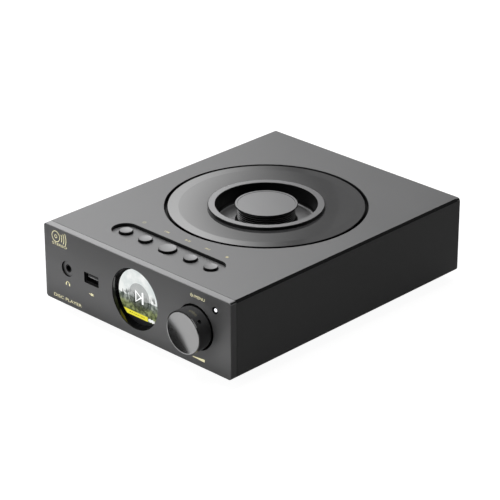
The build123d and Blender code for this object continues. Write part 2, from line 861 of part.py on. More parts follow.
# =============================================================================
# Lid: dished gloss plate, a turned bowl with its raised collar, a ridged grip in the middle.
lid_flat_radius = lid_radius - lid_flat_width
lid_step_radius = well_radius - 2.0
with BuildPart() as lid_plate:
    with BuildSketch(Plane.XZ.offset(-lid_y)):
        Polygon(
            (collar_radius, z_top - lid_dish),
            (lid_flat_radius, z_top),
            (lid_radius - 0.5, z_top),
            (lid_radius, z_top - 0.5),
            (lid_radius, z_top - lid_thickness),
            (lid_step_radius, z_top - lid_thickness),
            (lid_step_radius, z_top - lid_thickness - lid_dish),
            (collar_radius, z_top - lid_thickness - lid_dish),
            align=None,
        )
    revolve(axis=lid_axis)
save(lid_plate, "lid_plate")

z_bowl = z_top - bowl_depth
z_bowl_under = z_bowl - bowl_wall
z_lid_under = z_top - lid_thickness - lid_dish
bowl_flange = 3.0
with BuildPart() as lid_bowl:
    with BuildSketch(Plane.XZ.offset(-lid_y)):
        with BuildLine():
            Polyline(
                (2.1, z_bowl),
                (bowl_radius - bowl_cove, z_bowl),
            )
            RadiusArc(
                (bowl_radius - bowl_cove, z_bowl),
                (bowl_radius, z_bowl + bowl_cove),
                -bowl_cove,
            )
            Polyline(
                (bowl_radius, z_bowl + bowl_cove),
                (bowl_radius, z_top + collar_rise - 0.3),
                (bowl_radius + 0.3, z_top + collar_rise),
                (collar_radius - 0.5, z_top + collar_rise),
                (collar_radius, z_top + collar_rise - 0.5),
                (collar_radius, z_lid_under),
                (collar_radius + bowl_flange, z_lid_under),
                (collar_radius + bowl_flange, z_lid_under - 1.5),
                (bowl_radius + bowl_wall, z_lid_under - 1.5),
                (bowl_radius + bowl_wall, z_bowl + bowl_cove),
                (bowl_radius - bowl_cove / 2, z_bowl_under),
                (2.1, z_bowl_under),
                (2.1, z_bowl),
            )
        make_face()
    revolve(axis=lid_axis)
save(lid_bowl, "lid_bowl")

z_grip = z_top + grip_rise
ridge_pitch = 1.5
ridge_depth = 0.35
ridge_count = 5
z_ridges = z_bowl + 2.6
ridge_points = []
for index in range(ridge_count):
    z_low = z_ridges + index * ridge_pitch
    ridge_points.append((grip_neck_radius, z_low))
    ridge_points.append((grip_neck_radius, z_low + ridge_pitch / 2))
    ridge_points.append((grip_neck_radius - ridge_depth, z_low + ridge_pitch / 2 + 0.2))
    ridge_points.append((grip_neck_radius - ridge_depth, z_low + ridge_pitch - 0.2))
with BuildPart() as lid_grip:
    with BuildSketch(Plane.XZ.offset(-lid_y)):
        Polygon(
            (0, z_bowl),
            (grip_radius, z_bowl),
            (grip_radius, z_bowl + 0.7),
            (grip_neck_radius + 0.6, z_bowl + 1.6),
            *ridge_points,
            (grip_neck_radius, z_ridges + ridge_count * ridge_pitch),
            (grip_neck_radius + 0.4, z_grip - 2.0),
            (grip_radius, z_grip - 0.9),
            (grip_radius, z_grip - 0.3),
            (grip_radius - 0.3, z_grip),
            (grip_radius - grip_rim, z_grip),
            (grip_radius - grip_rim - 0.2, z_grip - 0.2),
            (0, z_grip - 0.2),
            align=None,
        )
    revolve(axis=lid_axis)
    with BuildSketch(level(z_bowl)):
        with Locations((0, lid_y)):
            Circle(2.0)
    extrude(amount=7, mode=Mode.SUBTRACT)
save(lid_grip, "lid_grip")

with BuildPart() as grip_screw:
    with BuildSketch(level(z_bowl_under)):
        with Locations((0, lid_y)):
            Circle(2.0)
    extrude(amount=bowl_wall + 6)
save(grip_screw, "grip_screw")

# Clamp: a free-turning disc held by its flange in a cage under the bowl.
z_clamp = z_bowl_under - clamp_gap
z_clamp_pad = z_seat + disc_thickness
clamp_flange = 1.4
cage_radius = clamp_radius + clamp_gap
with BuildPart() as clamp_cage:
    with BuildSketch(Plane.XZ.offset(-lid_y)):
        Polygon(
            (cage_radius, z_bowl_under),
            (cage_radius + cage_wall, z_bowl_under),
            (cage_radius + cage_wall, z_clamp - clamp_flange - clamp_gap - 0.9),
            (clamp_pad_radius + clamp_gap, z_clamp - clamp_flange - clamp_gap - 0.9),
            (clamp_pad_radius + clamp_gap, z_clamp - clamp_flange - clamp_gap),
            (cage_radius, z_clamp - clamp_flange - clamp_gap),
            align=None,
        )
    revolve(axis=lid_axis)
save(clamp_cage, "clamp_cage")

with BuildPart() as disc_clamp:
    with BuildSketch(Plane.XZ.offset(-lid_y)):
        Polygon(
            (0, z_clamp),
            (clamp_radius, z_clamp),
            (clamp_radius, z_clamp - clamp_flange),
            (clamp_pad_radius, z_clamp - clamp_flange),
            (clamp_pad_radius, z_clamp_pad),
            (spindle_boss_radius + 0.6, z_clamp_pad),
            (spindle_boss_radius + 0.6, z_clamp_pad + 2.0),
            (0, z_clamp_pad + 2.0),
            align=None,
        )
    revolve(axis=lid_axis)
save(disc_clamp, "disc_clamp")

# =============================================================================
# Main board with its parts, on six standoffs above the bottom plate.
main_board_front = y_board + board_thickness + 5
main_board_back = y_sleeve_end - inlet_depth - 4
board_middle = (main_board_front + main_board_back) / 2
with BuildPart() as main_board:
    with BuildSketch(level(z_main)):
        with Locations((0, board_middle)):
            Rectangle(inner_width - 2 * rail_width - 6, main_board_back - main_board_front)
    extrude(amount=board_thickness)
save(main_board, "main_board")

with BuildPart() as board_standoffs:
    with BuildSketch(level(z_floor)):
        with Locations((0, board_middle)):
            with GridLocations(inner_width - 40, (main_board_back - main_board_front - 14) / 2, 2, 3):
                Circle(standoff_radius)
    extrude(amount=main_board_lift)
save(board_standoffs, "board_standoffs")

z_parts = z_main + board_thickness
with BuildPart() as board_chips:
    with BuildSketch(level(z_parts)):
        with Locations((-40, lid_y - 60), (10, lid_y - 70), (36, lid_y + 58)):
            RectangleRounded(14, 14, 0.8)
        with Locations((-16, lid_y - 66), (48, lid_y - 60), (60, lid_y - 60)):
            RectangleRounded(8, 10, 0.5)
    extrude(amount=1.6)
save(board_chips, "board_chips")

with BuildPart() as filter_capacitors:
    with BuildSketch(level(z_parts)):
        for row in range(3):
            with Locations((inner_width / 2 - rail_width - 16, lid_y - 20 + row * 2.6 * capacitor_radius)):
                Circle(capacitor_radius)
    extrude(amount=capacitor_height)
    fillet(filter_capacitors.faces().group_by(Axis.Z)[-1].edges(), 1.0)
save(filter_capacitors, "filter_capacitors")

transformer_x = -inner_width / 2 + rail_width + 30
transformer_y = plate_back + 26
with BuildPart() as power_transformer:
    with BuildSketch(level(z_parts)):
        with Locations((transformer_x, transformer_y)):
            Rectangle(40, 34)
    extrude(amount=20)
    with BuildSketch(level(z_parts + 4)):
        with Locations((transformer_x, transformer_y)):
            RectangleRounded(26, 44, 3)
    extrude(amount=12)
save(power_transformer, "power_transformer")

# Line outputs: two plated barrels with flanges, and an insulator ring in each.
with BuildPart() as line_jacks:
    for spot_x in line_jack_spots:
        with BuildSketch(facing(y_rear)):
            with Locations((spot_x, z_socket)):
                Circle(line_flange_radius)
        extrude(amount=-line_flange_height)
        with BuildSketch(facing(y_rear + line_flange_height)):
            with Locations((spot_x, z_socket)):
                Circle(line_barrel_radius)
        extrude(amount=-(rear_out - line_flange_height))
        with BuildSketch(facing(y_sleeve_end)):
            with Locations((spot_x, z_socket)):
                Circle(line_barrel_radius + 0.3)
        extrude(amount=-rear_thickness)
        with BuildSketch(facing(y_sleeve_end)):
            with Locations((spot_x, z_socket)):
                Rectangle(14, 14)
        extrude(amount=10)
        with BuildSketch(facing(y_rear + rear_out)):
            with Locations((spot_x, z_socket)):
                Circle(line_bore_radius)
        extrude(amount=rear_out + 1, mode=Mode.SUBTRACT)
save(line_jacks, "line_jacks")

with BuildPart() as line_insulators:
    with BuildSketch(facing(y_rear - 1)):
        for spot_x in line_jack_spots:
            with Locations((spot_x, z_socket)):
                Circle(line_bore_radius)
                Circle(line_pin_radius, mode=Mode.SUBTRACT)
    extrude(amount=-(rear_out + 0.4))
save(line_insulators, "line_insulators")

with BuildPart() as optical_socket:
    with BuildSketch(facing(y_rear + 0.6)):
        with Locations((optical_x, z_socket)):
            RectangleRounded(optical_width + 3, optical_width + 3, 1)
    extrude(amount=0.6)
    with BuildSketch(facing(y_rear)):
        with Locations((optical_x, z_socket)):
            Rectangle(optical_width, optical_width)
    extrude(amount=14)
    with BuildSketch(facing(y_rear + 0.6)):
        with Locations((optical_x, z_socket)):
            RectangleRounded(optical_width - 3.4, optical_width - 3.4, 0.8)
    extrude(amount=7, mode=Mode.SUBTRACT)
save(optical_socket, "optical_socket")

# Mains inlet: flanged housing with a hollow mouth and three blades.
mouth_width = inlet_width - 2 * inlet_wall
mouth_height = inlet_height - 2 * inlet_wall
with BuildPart() as mains_inlet:
    with BuildSketch(facing(y_rear + inlet_flange)):
        with Locations((inlet_x, z_socket)):
            RectangleRounded(inlet_width + 3, inlet_height + 3, 1.5)
    extrude(amount=inlet_flange)
    with BuildSketch(facing(y_rear)):
        with Locations((inlet_x, z_socket)):
            Rectangle(inlet_width, inlet_height)
    extrude(amount=rear_thickness + inlet_depth)
    with BuildSketch(facing(y_rear + inlet_flange)) as mouth:
        with Locations((inlet_x, z_socket)):
            Rectangle(mouth_width, mouth_height)
        chamfer(mouth.vertices().group_by(Axis.Y)[-1], 4.0)
    extrude(amount=inlet_depth, mode=Mode.SUBTRACT)
save(mains_inlet, "mains_inlet")

y_mouth_floor = y_rear + inlet_flange - inlet_depth
with BuildPart() as inlet_blades:
    with BuildSketch(facing(y_mouth_floor)):
        with Locations((inlet_x - 7, z_socket - 1.5), (inlet_x, z_socket + 1.5), (inlet_x + 7, z_socket - 1.5)):
            Rectangle(2, 4)
    extrude(amount=-9)
save(inlet_blades, "inlet_blades")

# Power switch: housing with a hollow, and a rocker on two small pivots inside it.
y_pivot = y_rear - 3.0
with BuildPart() as switch_housing:
    with BuildSketch(facing(y_rear + 1.4)):
        with Locations((switch_x, z_socket)):
            RectangleRounded(rocker_opening + 5, rocker_height + 5, 1)
    extrude(amount=1.4)
    with BuildSketch(facing(y_rear)):
        with Locations((switch_x, z_socket)):
            Rectangle(rocker_opening + 2, rocker_height + 2)
    extrude(amount=15)
    with BuildSketch(facing(y_rear + 1.4)):
        with Locations((switch_x, z_socket)):
            Rectangle(rocker_opening, rocker_height)
    extrude(amount=9, mode=Mode.SUBTRACT)
    with BuildSketch(Plane.YZ.offset(switch_x)):
        with Locations((y_pivot, z_socket)):
            Circle(1.2 + running_gap)
    extrude(amount=rocker_opening / 2 + 0.6, both=True, mode=Mode.SUBTRACT)
save(switch_housing, "switch_housing")

with BuildPart() as power_rocker:
    with BuildSketch(Plane.YZ.offset(switch_x)):
        with Locations(Location((y_pivot, z_socket), rocker_tilt)):
            Polygon(
                (4.2, rocker_half_height),
                (2.4, 0),
                (4.2, -rocker_half_height),
                (-2.0, -rocker_half_height + 1),
                (-2.0, rocker_half_height - 1),
                align=None,
            )
    extrude(amount=rocker_width / 2, both=True)
    with BuildSketch(Plane.YZ.offset(switch_x)):
        with Locations((y_pivot, z_socket)):
            Circle(1.2)
    extrude(amount=rocker_opening / 2 + 0.4, both=True)
save(power_rocker, "power_rocker")
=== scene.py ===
import bmesh
import bpy
from math import cos, pi, radians, sin
from mathutils import Matrix, Vector


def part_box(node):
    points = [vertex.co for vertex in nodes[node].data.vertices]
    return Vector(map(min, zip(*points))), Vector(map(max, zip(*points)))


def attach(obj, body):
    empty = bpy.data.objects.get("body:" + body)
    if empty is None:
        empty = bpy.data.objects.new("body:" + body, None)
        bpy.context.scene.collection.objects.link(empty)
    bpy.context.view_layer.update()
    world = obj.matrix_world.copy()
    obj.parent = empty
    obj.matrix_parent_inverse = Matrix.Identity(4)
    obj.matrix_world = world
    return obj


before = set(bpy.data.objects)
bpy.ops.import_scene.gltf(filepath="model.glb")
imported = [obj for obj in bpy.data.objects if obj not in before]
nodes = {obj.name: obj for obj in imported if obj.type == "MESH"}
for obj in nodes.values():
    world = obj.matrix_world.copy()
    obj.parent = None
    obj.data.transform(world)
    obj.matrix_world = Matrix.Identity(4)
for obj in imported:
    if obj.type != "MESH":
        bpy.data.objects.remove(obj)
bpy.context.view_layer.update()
scene = bpy.context.scene

# ---------------------------------------------------------------------------------------------
# Camera: a long lens looking down on the front right corner, as in a catalogue view.  It stands
# about 1.7 m away, so the case's edges draw together only a little.
camera_data = bpy.data.cameras.new("camera")
camera_data.lens = 166.477
camera_data.sensor_width = 36.0
camera_data.clip_start = 0.05
camera_data.clip_end = 50.0
camera = bpy.data.objects.new("camera", camera_data)
scene.collection.objects.link(camera)
camera.matrix_world = Matrix((
    (0.71834, -0.29745, 0.62890, 1.059555),
    (0.69569, 0.30840, -0.64877, -1.097616),
    (-0.00097, 0.90355, 0.42847, 0.757363),
    (0.0, 0.0, 0.0, 1.0),
))
scene.camera = camera

# ---------------------------------------------------------------------------------------------
# Floor: a seamless pale studio sweep.  It shows near white to the camera, while what the metal
# sees of it is a much deeper grey, as with black cards laid round the object.
floor_mesh = bpy.data.meshes.new("studio_floor")
floor_mesh.from_pydata(
    [(-6, -6, -0.0002), (6, -6, -0.0002), (6, 6, -0.0002), (-6, 6, -0.0002)], [], [(0, 1, 2, 3)]
)
floor = bpy.data.objects.new("studio_floor", floor_mesh)
scene.collection.objects.link(floor)


def new_material(name):
    """An empty node material with its output, ready for its own shader."""
    material = bpy.data.materials.new(name)
    material.use_nodes = True
    tree = material.node_tree
    tree.nodes.clear()
    output = tree.nodes.new("ShaderNodeOutputMaterial")
    return material, tree, output


def add_node(tree, kind, **values):
    """A node with its plain input values set by name."""
    node = tree.nodes.new(kind)
    for key, value in values.items():
        socket = node.inputs.get(key.replace("_", " "))
        if socket is None:
            setattr(node, key, value)
        else:
            socket.default_value = value
    return node


def ramp_between(tree, value, low, high):
    """Smooth 0 to 1 step of a value between two limits."""
    step = add_node(tree, "ShaderNodeMapRange", interpolation_type="SMOOTHSTEP")
    step.inputs["From Min"].default_value = low
    step.inputs["From Max"].default_value = high
    tree.links.new(value, step.inputs["Value"])
    return step.outputs["Result"]


def product(tree, first, second):
    """Product of two values."""
    node = add_node(tree, "ShaderNodeMath", operation="MULTIPLY")
    tree.links.new(first, node.inputs[0])
    tree.links.new(second, node.inputs[1])
    return node.outputs[0]


def blend_colour(tree, factor, first, second):
    """Mix of two colours; each may be a link or a plain colour."""
    node = add_node(tree, "ShaderNodeMix", data_type="RGBA")
    sockets = [node.inputs["Factor"], node.inputs[6], node.inputs[7]]
    for socket, value in zip(sockets, (factor, first, second)):
        if isinstance(value, tuple):
            socket.default_value = value
        else:
            tree.links.new(value, socket)
    return node.outputs[2]


def object_place(tree):
    """The shaded point, in the frame of the whole object."""
    return tree.nodes.new("ShaderNodeTexCoord").outputs["Object"]


def parts_of(tree, vector):
    """The X, Y and Z parts of a vector, by name."""
    node = tree.nodes.new("ShaderNodeSeparateXYZ")
    tree.links.new(vector, node.inputs[0])
    return node.outputs


def grey(level):
    """A plain grey."""
    return (level, level, level, 1)


# Where each patch of the floor fades in, in metres: a pale strip right in front of the object, a
# black card from there outward, and a deeper grey all along the right.
strip_far, strip_near = (-0.191, -0.184), (-0.130, -0.160)
card_near, card_far = (-0.120, -0.135), (-0.80, -0.65)
card_left, card_right = (-0.60, -0.45), (0.11, 0.09)
deep_floor = (0.08, 0.12)

floor_material, tree, output = new_material("studio_paper")
paper = add_node(tree, "ShaderNodeBsdfDiffuse", Color=grey(0.30))
lift = add_node(tree, "ShaderNodeEmission", Color=grey(1.0), Strength=0.94)
seen = tree.nodes.new("ShaderNodeAddShader")
spot = parts_of(tree, object_place(tree))
strip_start = ramp_between(tree, spot["Y"], *strip_far)
front_strip = product(tree, strip_start, ramp_between(tree, spot["Y"], *strip_near))
ahead = product(tree, ramp_between(tree, spot["Y"], *card_near), ramp_between(tree, spot["Y"], *card_far))
between = product(tree, ramp_between(tree, spot["X"], *card_right), ramp_between(tree, spot["X"], *card_left))
tone = blend_colour(tree, ramp_between(tree, spot["X"], *deep_floor), grey(0.34), grey(0.14))
tone = blend_colour(tree, product(tree, ahead, between), tone, grey(0.012))
tone = blend_colour(tree, product(tree, front_strip, between), tone, grey(0.80))
dark = tree.nodes.new("ShaderNodeBsdfDiffuse")
path = tree.nodes.new("ShaderNodeLightPath")
pick = tree.nodes.new("ShaderNodeMixShader")
tree.links.new(tone, dark.inputs["Color"])
tree.links.new(paper.outputs[0], seen.inputs[0])
tree.links.new(lift.outputs[0], seen.inputs[1])
tree.links.new(path.outputs["Is Camera Ray"], pick.inputs[0])
tree.links.new(dark.outputs[0], pick.inputs[1])
tree.links.new(seen.outputs[0], pick.inputs[2])
tree.links.new(pick.outputs[0], output.inputs["Surface"])
floor_mesh.materials.append(floor_material)

# ---------------------------------------------------------------------------------------------
# Studio lights: a glowing card behind on the left, fading out at its right and lower edges, which
# the gloss lid mirrors; a large panel overhead, two in front and a small one behind on the right.
def scaled(tree, value, factor, offset=0.0):
    """value * factor + offset."""
    node = add_node(tree, "ShaderNodeMath", operation="MULTIPLY_ADD")
    node.inputs[1].default_value = factor
    node.inputs[2].default_value = offset
    tree.links.new(value, node.inputs[0])
    return node.outputs[0]


world = bpy.data.worlds.new("studio_air")
world.use_nodes = True
air = world.node_tree
way = parts_of(air, air.nodes.new("ShaderNodeTexCoord").outputs["Generated"])
strength = scaled(air, ramp_between(air, way["X"], 0.25, -0.15), 0.18, 0.012)
seen_air = add_node(air, "ShaderNodeMix", data_type="FLOAT", B=1.0)
air.links.new(air.nodes.new("ShaderNodeLightPath").outputs["Is Camera Ray"], seen_air.inputs["Factor"])
air.links.new(strength, seen_air.inputs["A"])
air.links.new(seen_air.outputs["Result"], air.nodes["Background"].inputs["Strength"])
air.nodes["Background"].inputs["Color"].default_value = grey(1.0)
scene.world = world
scene.view_settings.view_transform = "Standard"
scene.view_settings.look = "None"

card_mesh = bpy.data.meshes.new("back_left_card")
card_mesh.from_pydata([(-1, 0, 0), (0.02, 0, 0), (0.02, 0, 1), (-1, 0, 1)], [], [(0, 1, 2, 3)])
card = bpy.data.objects.new("back_left_card", card_mesh)
scene.collection.objects.link(card)
card.location = (-0.62, 0.69, 0.10)
card.rotation_euler = (0, 0, radians(44.0))
card.scale = (1.3, 1.0, 0.95)
card.visible_camera = False
card_material, tree, output = new_material("card_glow")
glow = add_node(tree, "ShaderNodeEmission", Color=grey(1.0))
spot = parts_of(tree, object_place(tree))
shape = product(tree, ramp_between(tree, spot["X"], 0.015, -0.088), ramp_between(tree, spot["Z"], 0.10, 0.52))
tree.links.new(scaled(tree, shape, 1.8, 0.15), glow.inputs["Strength"])
tree.links.new(glow.outputs[0], output.inputs["Surface"])
card_mesh.materials.append(card_material)


def soft_box(name, place, aim, width, height, power):
    """A rectangular area light that faces a point."""
    data = bpy.data.lights.new(name, "AREA")
    data.shape = "RECTANGLE"
    data.size = width
    data.size_y = height
    data.energy = power
    light = bpy.data.objects.new(name, data)
    light.location = place
    direction = Vector(aim) - Vector(place)
    light.rotation_euler = direction.to_track_quat("-Z", "Y").to_euler()
    scene.collection.objects.link(light)


soft_box("overhead_panel", (-0.3, 0.0, 1.5), (0, 0, 0), 1.2, 1.2, 11.0)
soft_box("front_panel_light", (-0.7, -1.4, 0.40), (0, -0.1, 0.03), 1.0, 0.6, 2.2)
soft_box("front_high_box", (0.0, -1.75, 1.0), (0, 0, 0), 2.6, 0.9, 6.0)
soft_box("back_right_box", (0.95, 1.25, 0.85), (0, 0, 0), 1.2, 0.9, 2.0)

# ---------------------------------------------------------------------------------------------
# Case sleeve and rear plate: aluminium, bead blasted and anodised silver grey.  The blasting leaves
# a fine even grain, handling leaves faint cloudy patches, and the dye wears thin along the edges.
def start_group(name, inputs, outputs):
    """An empty shader node group with named sockets, and its two end nodes."""
    group = bpy.data.node_groups.new(name, "ShaderNodeTree")
    for label, kind, value in inputs:
        socket = group.interface.new_socket(label, in_out="INPUT", socket_type=kind)
        socket.default_value = value
    for label, kind in outputs:
        group.interface.new_socket(label, in_out="OUTPUT", socket_type=kind)
    return group, group.nodes.new("NodeGroupInput"), group.nodes.new("NodeGroupOutput")


def total(tree, first, second):
    """Sum of two values."""
    node = add_node(tree, "ShaderNodeMath", operation="ADD")
    tree.links.new(first, node.inputs[0])
    tree.links.new(second, node.inputs[1])
    return node.outputs[0]


def noise(tree, vector, scale, detail=2.0, roughness=0.55):
    """Noise value at a point."""
    node = add_node(tree, "ShaderNodeTexNoise", Detail=detail, Roughness=roughness)
    tree.links.new(vector, node.inputs["Vector"])
    if isinstance(scale, (int, float)):
        node.inputs["Scale"].default_value = scale
    else:
        tree.links.new(scale, node.inputs["Scale"])
    return node.outputs["Fac"]


number = "NodeSocketFloat"
colour_kind = "NodeSocketColor"
blast_grain, start, end = start_group(
    "blast_grain",
    (
        ("Colour", colour_kind, (0.5, 0.5, 0.5, 1)),
        ("Roughness", number, 0.5),
        ("Grain Scale", number, 2600.0),
        ("Cloud Scale", number, 14.0),
        ("Cloud Amount", number, 0.06),
    ),
    (("Colour", colour_kind), ("Roughness", number), ("Height", number)),
)
place = object_place(blast_grain)
grain = noise(blast_grain, place, start.outputs["Grain Scale"], 2.0, 0.6)
cloud = noise(blast_grain, place, start.outputs["Cloud Scale"], 3.0)
swing = product(blast_grain, scaled(blast_grain, cloud, 1.0, -0.5), start.outputs["Cloud Amount"])
gain = scaled(blast_grain, total(blast_grain, swing, scaled(blast_grain, grain, 0.12, -0.06)), 1.0, 1.0)
tint = add_node(blast_grain, "ShaderNodeVectorMath", operation="SCALE")
blast_grain.links.new(start.outputs["Colour"], tint.inputs[0])
blast_grain.links.new(gain, tint.inputs["Scale"])
sheen = total(blast_grain, scaled(blast_grain, swing, 0.8), start.outputs["Roughness"])
blast_grain.links.new(tint.outputs[0], end.inputs["Colour"])
blast_grain.links.new(sheen, end.inputs["Roughness"])
blast_grain.links.new(grain, end.inputs["Height"])

# Edge wear: a thin broken line of barer metal where two faces meet.
edge_wear, start, end = start_group(
    "edge_wear",
    (("Width", number, 0.0005), ("Amount", number, 0.5)),
    (("Mask", number),),
)
rounded = edge_wear.nodes.new("ShaderNodeBevel")
rounded.samples = 4
edge_wear.links.new(start.outputs["Width"], rounded.inputs["Radius"])
shape = edge_wear.nodes.new("ShaderNodeNewGeometry")
turn = add_node(edge_wear, "ShaderNodeVectorMath", operation="DOT_PRODUCT")
edge_wear.links.new(rounded.outputs["Normal"], turn.inputs[0])
edge_wear.links.new(shape.outputs["Normal"], turn.inputs[1])
bend = ramp_between(edge_wear, turn.outputs["Value"], 0.995, 0.93)
place = object_place(edge_wear)
broken = ramp_between(edge_wear, noise(edge_wear, place, 190.0, 4.0, 0.65), 0.36, 0.62)
worn = product(edge_wear, product(edge_wear, bend, broken), start.outputs["Amount"])
edge_wear.links.new(worn, end.inputs["Mask"])


# Painted wall shade: the walls of holes and recesses are painted much darker than the face they are
# cut into, standing in for the shadow inside them.
recess_wall_shade, start, end = start_group(
    "recess_wall_shade",
    (
        ("Facing", "NodeSocketVector", (0, 0, 1)),
        ("Middle", "NodeSocketVector", (0, 0, 0)),
        ("Reach", "NodeSocketVector", (1, 1, 1)),
    ),
    (("Mask", number),),
)
place = recess_wall_shade.nodes.new("ShaderNodeTexCoord")
facing = add_node(recess_wall_shade, "ShaderNodeVectorMath", operation="DOT_PRODUCT")
recess_wall_shade.links.new(place.outputs["Normal"], facing.inputs[0])
recess_wall_shade.links.new(start.outputs["Facing"], facing.inputs[1])
flatness = add_node(recess_wall_shade, "ShaderNodeMath", operation="ABSOLUTE")
recess_wall_shade.links.new(facing.outputs["Value"], flatness.inputs[0])
away = add_node(recess_wall_shade, "ShaderNodeVectorMath", operation="SUBTRACT")
recess_wall_shade.links.new(place.outputs["Object"], away.inputs[0])
recess_wall_shade.links.new(start.outputs["Middle"], away.inputs[1])
spread = add_node(recess_wall_shade, "ShaderNodeVectorMath", operation="DIVIDE")
recess_wall_shade.links.new(away.outputs[0], spread.inputs[0])
recess_wall_shade.links.new(start.outputs["Reach"], spread.inputs[1])
size = add_node(recess_wall_shade, "ShaderNodeVectorMath", operation="ABSOLUTE")
recess_wall_shade.links.new(spread.outputs[0], size.inputs[0])
parts = parts_of(recess_wall_shade, size.outputs[0])
box_edge = (1.005, 0.995)
inside = ramp_between(recess_wall_shade, parts["X"], *box_edge)
for axis in ("Y", "Z"):
    inside = product(recess_wall_shade, inside, ramp_between(recess_wall_shade, parts[axis], *box_edge))
upright = ramp_between(recess_wall_shade, flatness.outputs[0], 0.93, 0.74)
recess_wall_shade.links.new(product(recess_wall_shade, inside, upright), end.inputs["Mask"])


def place_group(tree, group, **values):
    """One copy of a node group in a material, with its own values."""
    node = tree.nodes.new("ShaderNodeGroup")
    node.node_tree = group
    for key, value in values.items():
        node.inputs[key.replace("_", " ")].default_value = value
    return node


def paint_wall_shade(tree, shade, colour, facing, middle, reach, depth=0.10):
    """Paints shade on walls that don't face along an axis, inside a box, by darkening their colour."""
    walls = place_group(tree, recess_wall_shade, Facing=facing, Middle=middle, Reach=reach)
    dark = tuple(part * depth for part in colour)
    return blend_colour(tree, walls.outputs["Mask"], shade, (*dark, 1))


# Where the front plate ends and the sleeve begins, in metres.
seam_start = (-0.1155, -0.1150)


def paint_edge_shade(tree, shade, colour, depth=0.08):
    """Painted dark reflection on the bevels along the two long top edges; also darkens the seam behind the
    front plate, a dark joint.
    """
    normal = tree.nodes.new("ShaderNodeTexCoord").outputs["Normal"]
    size = add_node(tree, "ShaderNodeVectorMath", operation="ABSOLUTE")
    tree.links.new(normal, size.inputs[0])
    parts = parts_of(tree, size.outputs[0])
    on_bevel = (0.40, 0.48)
    slope = ramp_between(tree, product(tree, parts["X"], parts["Z"]), *on_bevel)
    seam = product(tree, total(tree, parts["X"], parts["Z"]), parts["Y"])
    behind = ramp_between(tree, parts_of(tree, object_place(tree))["Y"], *seam_start)
    slope = total(tree, slope, product(tree, ramp_between(tree, seam, *on_bevel), behind))
    dark = tuple(part * depth for part in colour)
    return blend_colour(tree, slope, shade, (*dark, 1))


def anodised(name, colour, roughness, walls=None):
    """Blasted and anodised aluminium with worn edges, painted shade on hole walls and a painted dark bevel
    reflection where asked.
    """
    material, tree, output = new_material(name)
    metal = add_node(tree, "ShaderNodeBsdfPrincipled", Metallic=0.94)
    grain = place_group(tree, blast_grain, Colour=(*colour, 1), Roughness=roughness, Cloud_Amount=0.10)
    wear_line = place_group(tree, edge_wear, Width=0.00035, Amount=0.16)
    bare = tuple(min(1.0, part * 1.7) for part in colour)
    shade = blend_colour(tree, wear_line.outputs["Mask"], grain.outputs["Colour"], (*bare, 1))
    if walls:
        shade = paint_wall_shade(tree, shade, colour, *walls)
        shade = paint_edge_shade(tree, shade, colour)
    relief = add_node(tree, "ShaderNodeBump", Strength=0.35, Distance=0.000012)
    tree.links.new(shade, metal.inputs["Base Color"])
    tree.links.new(grain.outputs["Roughness"], metal.inputs["Roughness"])
    tree.links.new(grain.outputs["Height"], relief.inputs["Height"])
    tree.links.new(relief.outputs["Normal"], metal.inputs["Normal"])
    tree.links.new(metal.outputs[0], output.inputs["Surface"])
    return material


def finish_node(name, material):
    """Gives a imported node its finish."""
    mesh = nodes[name].data
    mesh.materials.clear()
    mesh.materials.append(material)


# Facing, middle and reach of the box whose holes get painted shade on their walls: here, the holes in the
# top.
case_wall_shade = ((0, 0, 1), (0, 0, 0.0675), (0.085, 0.11, 0.020))
case_metal = anodised("case_metal", (0.31, 0.31, 0.313), 0.55, case_wall_shade)
finish_node("case_sleeve", case_metal)
finish_node("rear_panel", case_metal)

# ---------------------------------------------------------------------------------------------
# Bottom plate: steel sheet in black crinkle paint, held by six socket screws; four more hold the
# rear plate.  The paint's wrinkles are about a millimetre across.
crinkle, tree, output = new_material("black_crinkle_paint")
paint = add_node(tree, "ShaderNodeBsdfPrincipled", Specular_IOR_Level=0.4)
place = object_place(tree)
folds = add_node(tree, "ShaderNodeTexVoronoi", feature="SMOOTH_F1", Scale=900.0, Smoothness=0.6)
tree.links.new(place, folds.inputs["Vector"])
patch = noise(tree, place, 30.0, 3.0)
shade = blend_colour(tree, patch, (0.010, 0.010, 0.011, 1), (0.022, 0.022, 0.023, 1))
relief = add_node(tree, "ShaderNodeBump", Strength=0.8, Distance=0.0001)
tree.links.new(folds.outputs["Distance"], relief.inputs["Height"])
tree.links.new(shade, paint.inputs["Base Color"])
tree.links.new(scaled(tree, patch, 0.2, 0.45), paint.inputs["Roughness"])
tree.links.new(relief.outputs["Normal"], paint.inputs["Normal"])
tree.links.new(paint.outputs[0], output.inputs["Surface"])
finish_node("bottom_plate", crinkle)


def fine_finish(
    name, colour, roughness, metallic, scale=700.0, depth=0.00001, clouds=0.15, wear=0.3, coat=0.0
):
    """Plated, moulded or painted finish: slow patches, fine grain and rubbed edges."""
    material, tree, output = new_material(name)
    body = add_node(tree, "ShaderNodeBsdfPrincipled", Metallic=metallic, Coat_Weight=coat)
    grain = place_group(
        tree, blast_grain, Colour=(*colour, 1), Roughness=roughness, Grain_Scale=scale,
        Cloud_Scale=60.0, Cloud_Amount=clouds,
    )
    wear_line = place_group(tree, edge_wear, Width=0.0003, Amount=wear)
    rubbed = tuple(min(1.0, part * 1.6 + 0.02) for part in colour)
    shade = blend_colour(tree, wear_line.outputs["Mask"], grain.outputs["Colour"], (*rubbed, 1))
    relief = add_node(tree, "ShaderNodeBump", Strength=0.4, Distance=depth)
    tree.links.new(shade, body.inputs["Base Color"])
    tree.links.new(grain.outputs["Roughness"], body.inputs["Roughness"])
    tree.links.new(grain.outputs["Height"], relief.inputs["Height"])
    tree.links.new(relief.outputs["Normal"], body.inputs["Normal"])
    tree.links.new(body.outputs[0], output.inputs["Surface"])
    return material


black_oxide = fine_finish("black_oxide", (0.035, 0.035, 0.038), 0.42, 0.85)
finish_node("bottom_screws", black_oxide)
finish_node("rear_screws", black_oxide)
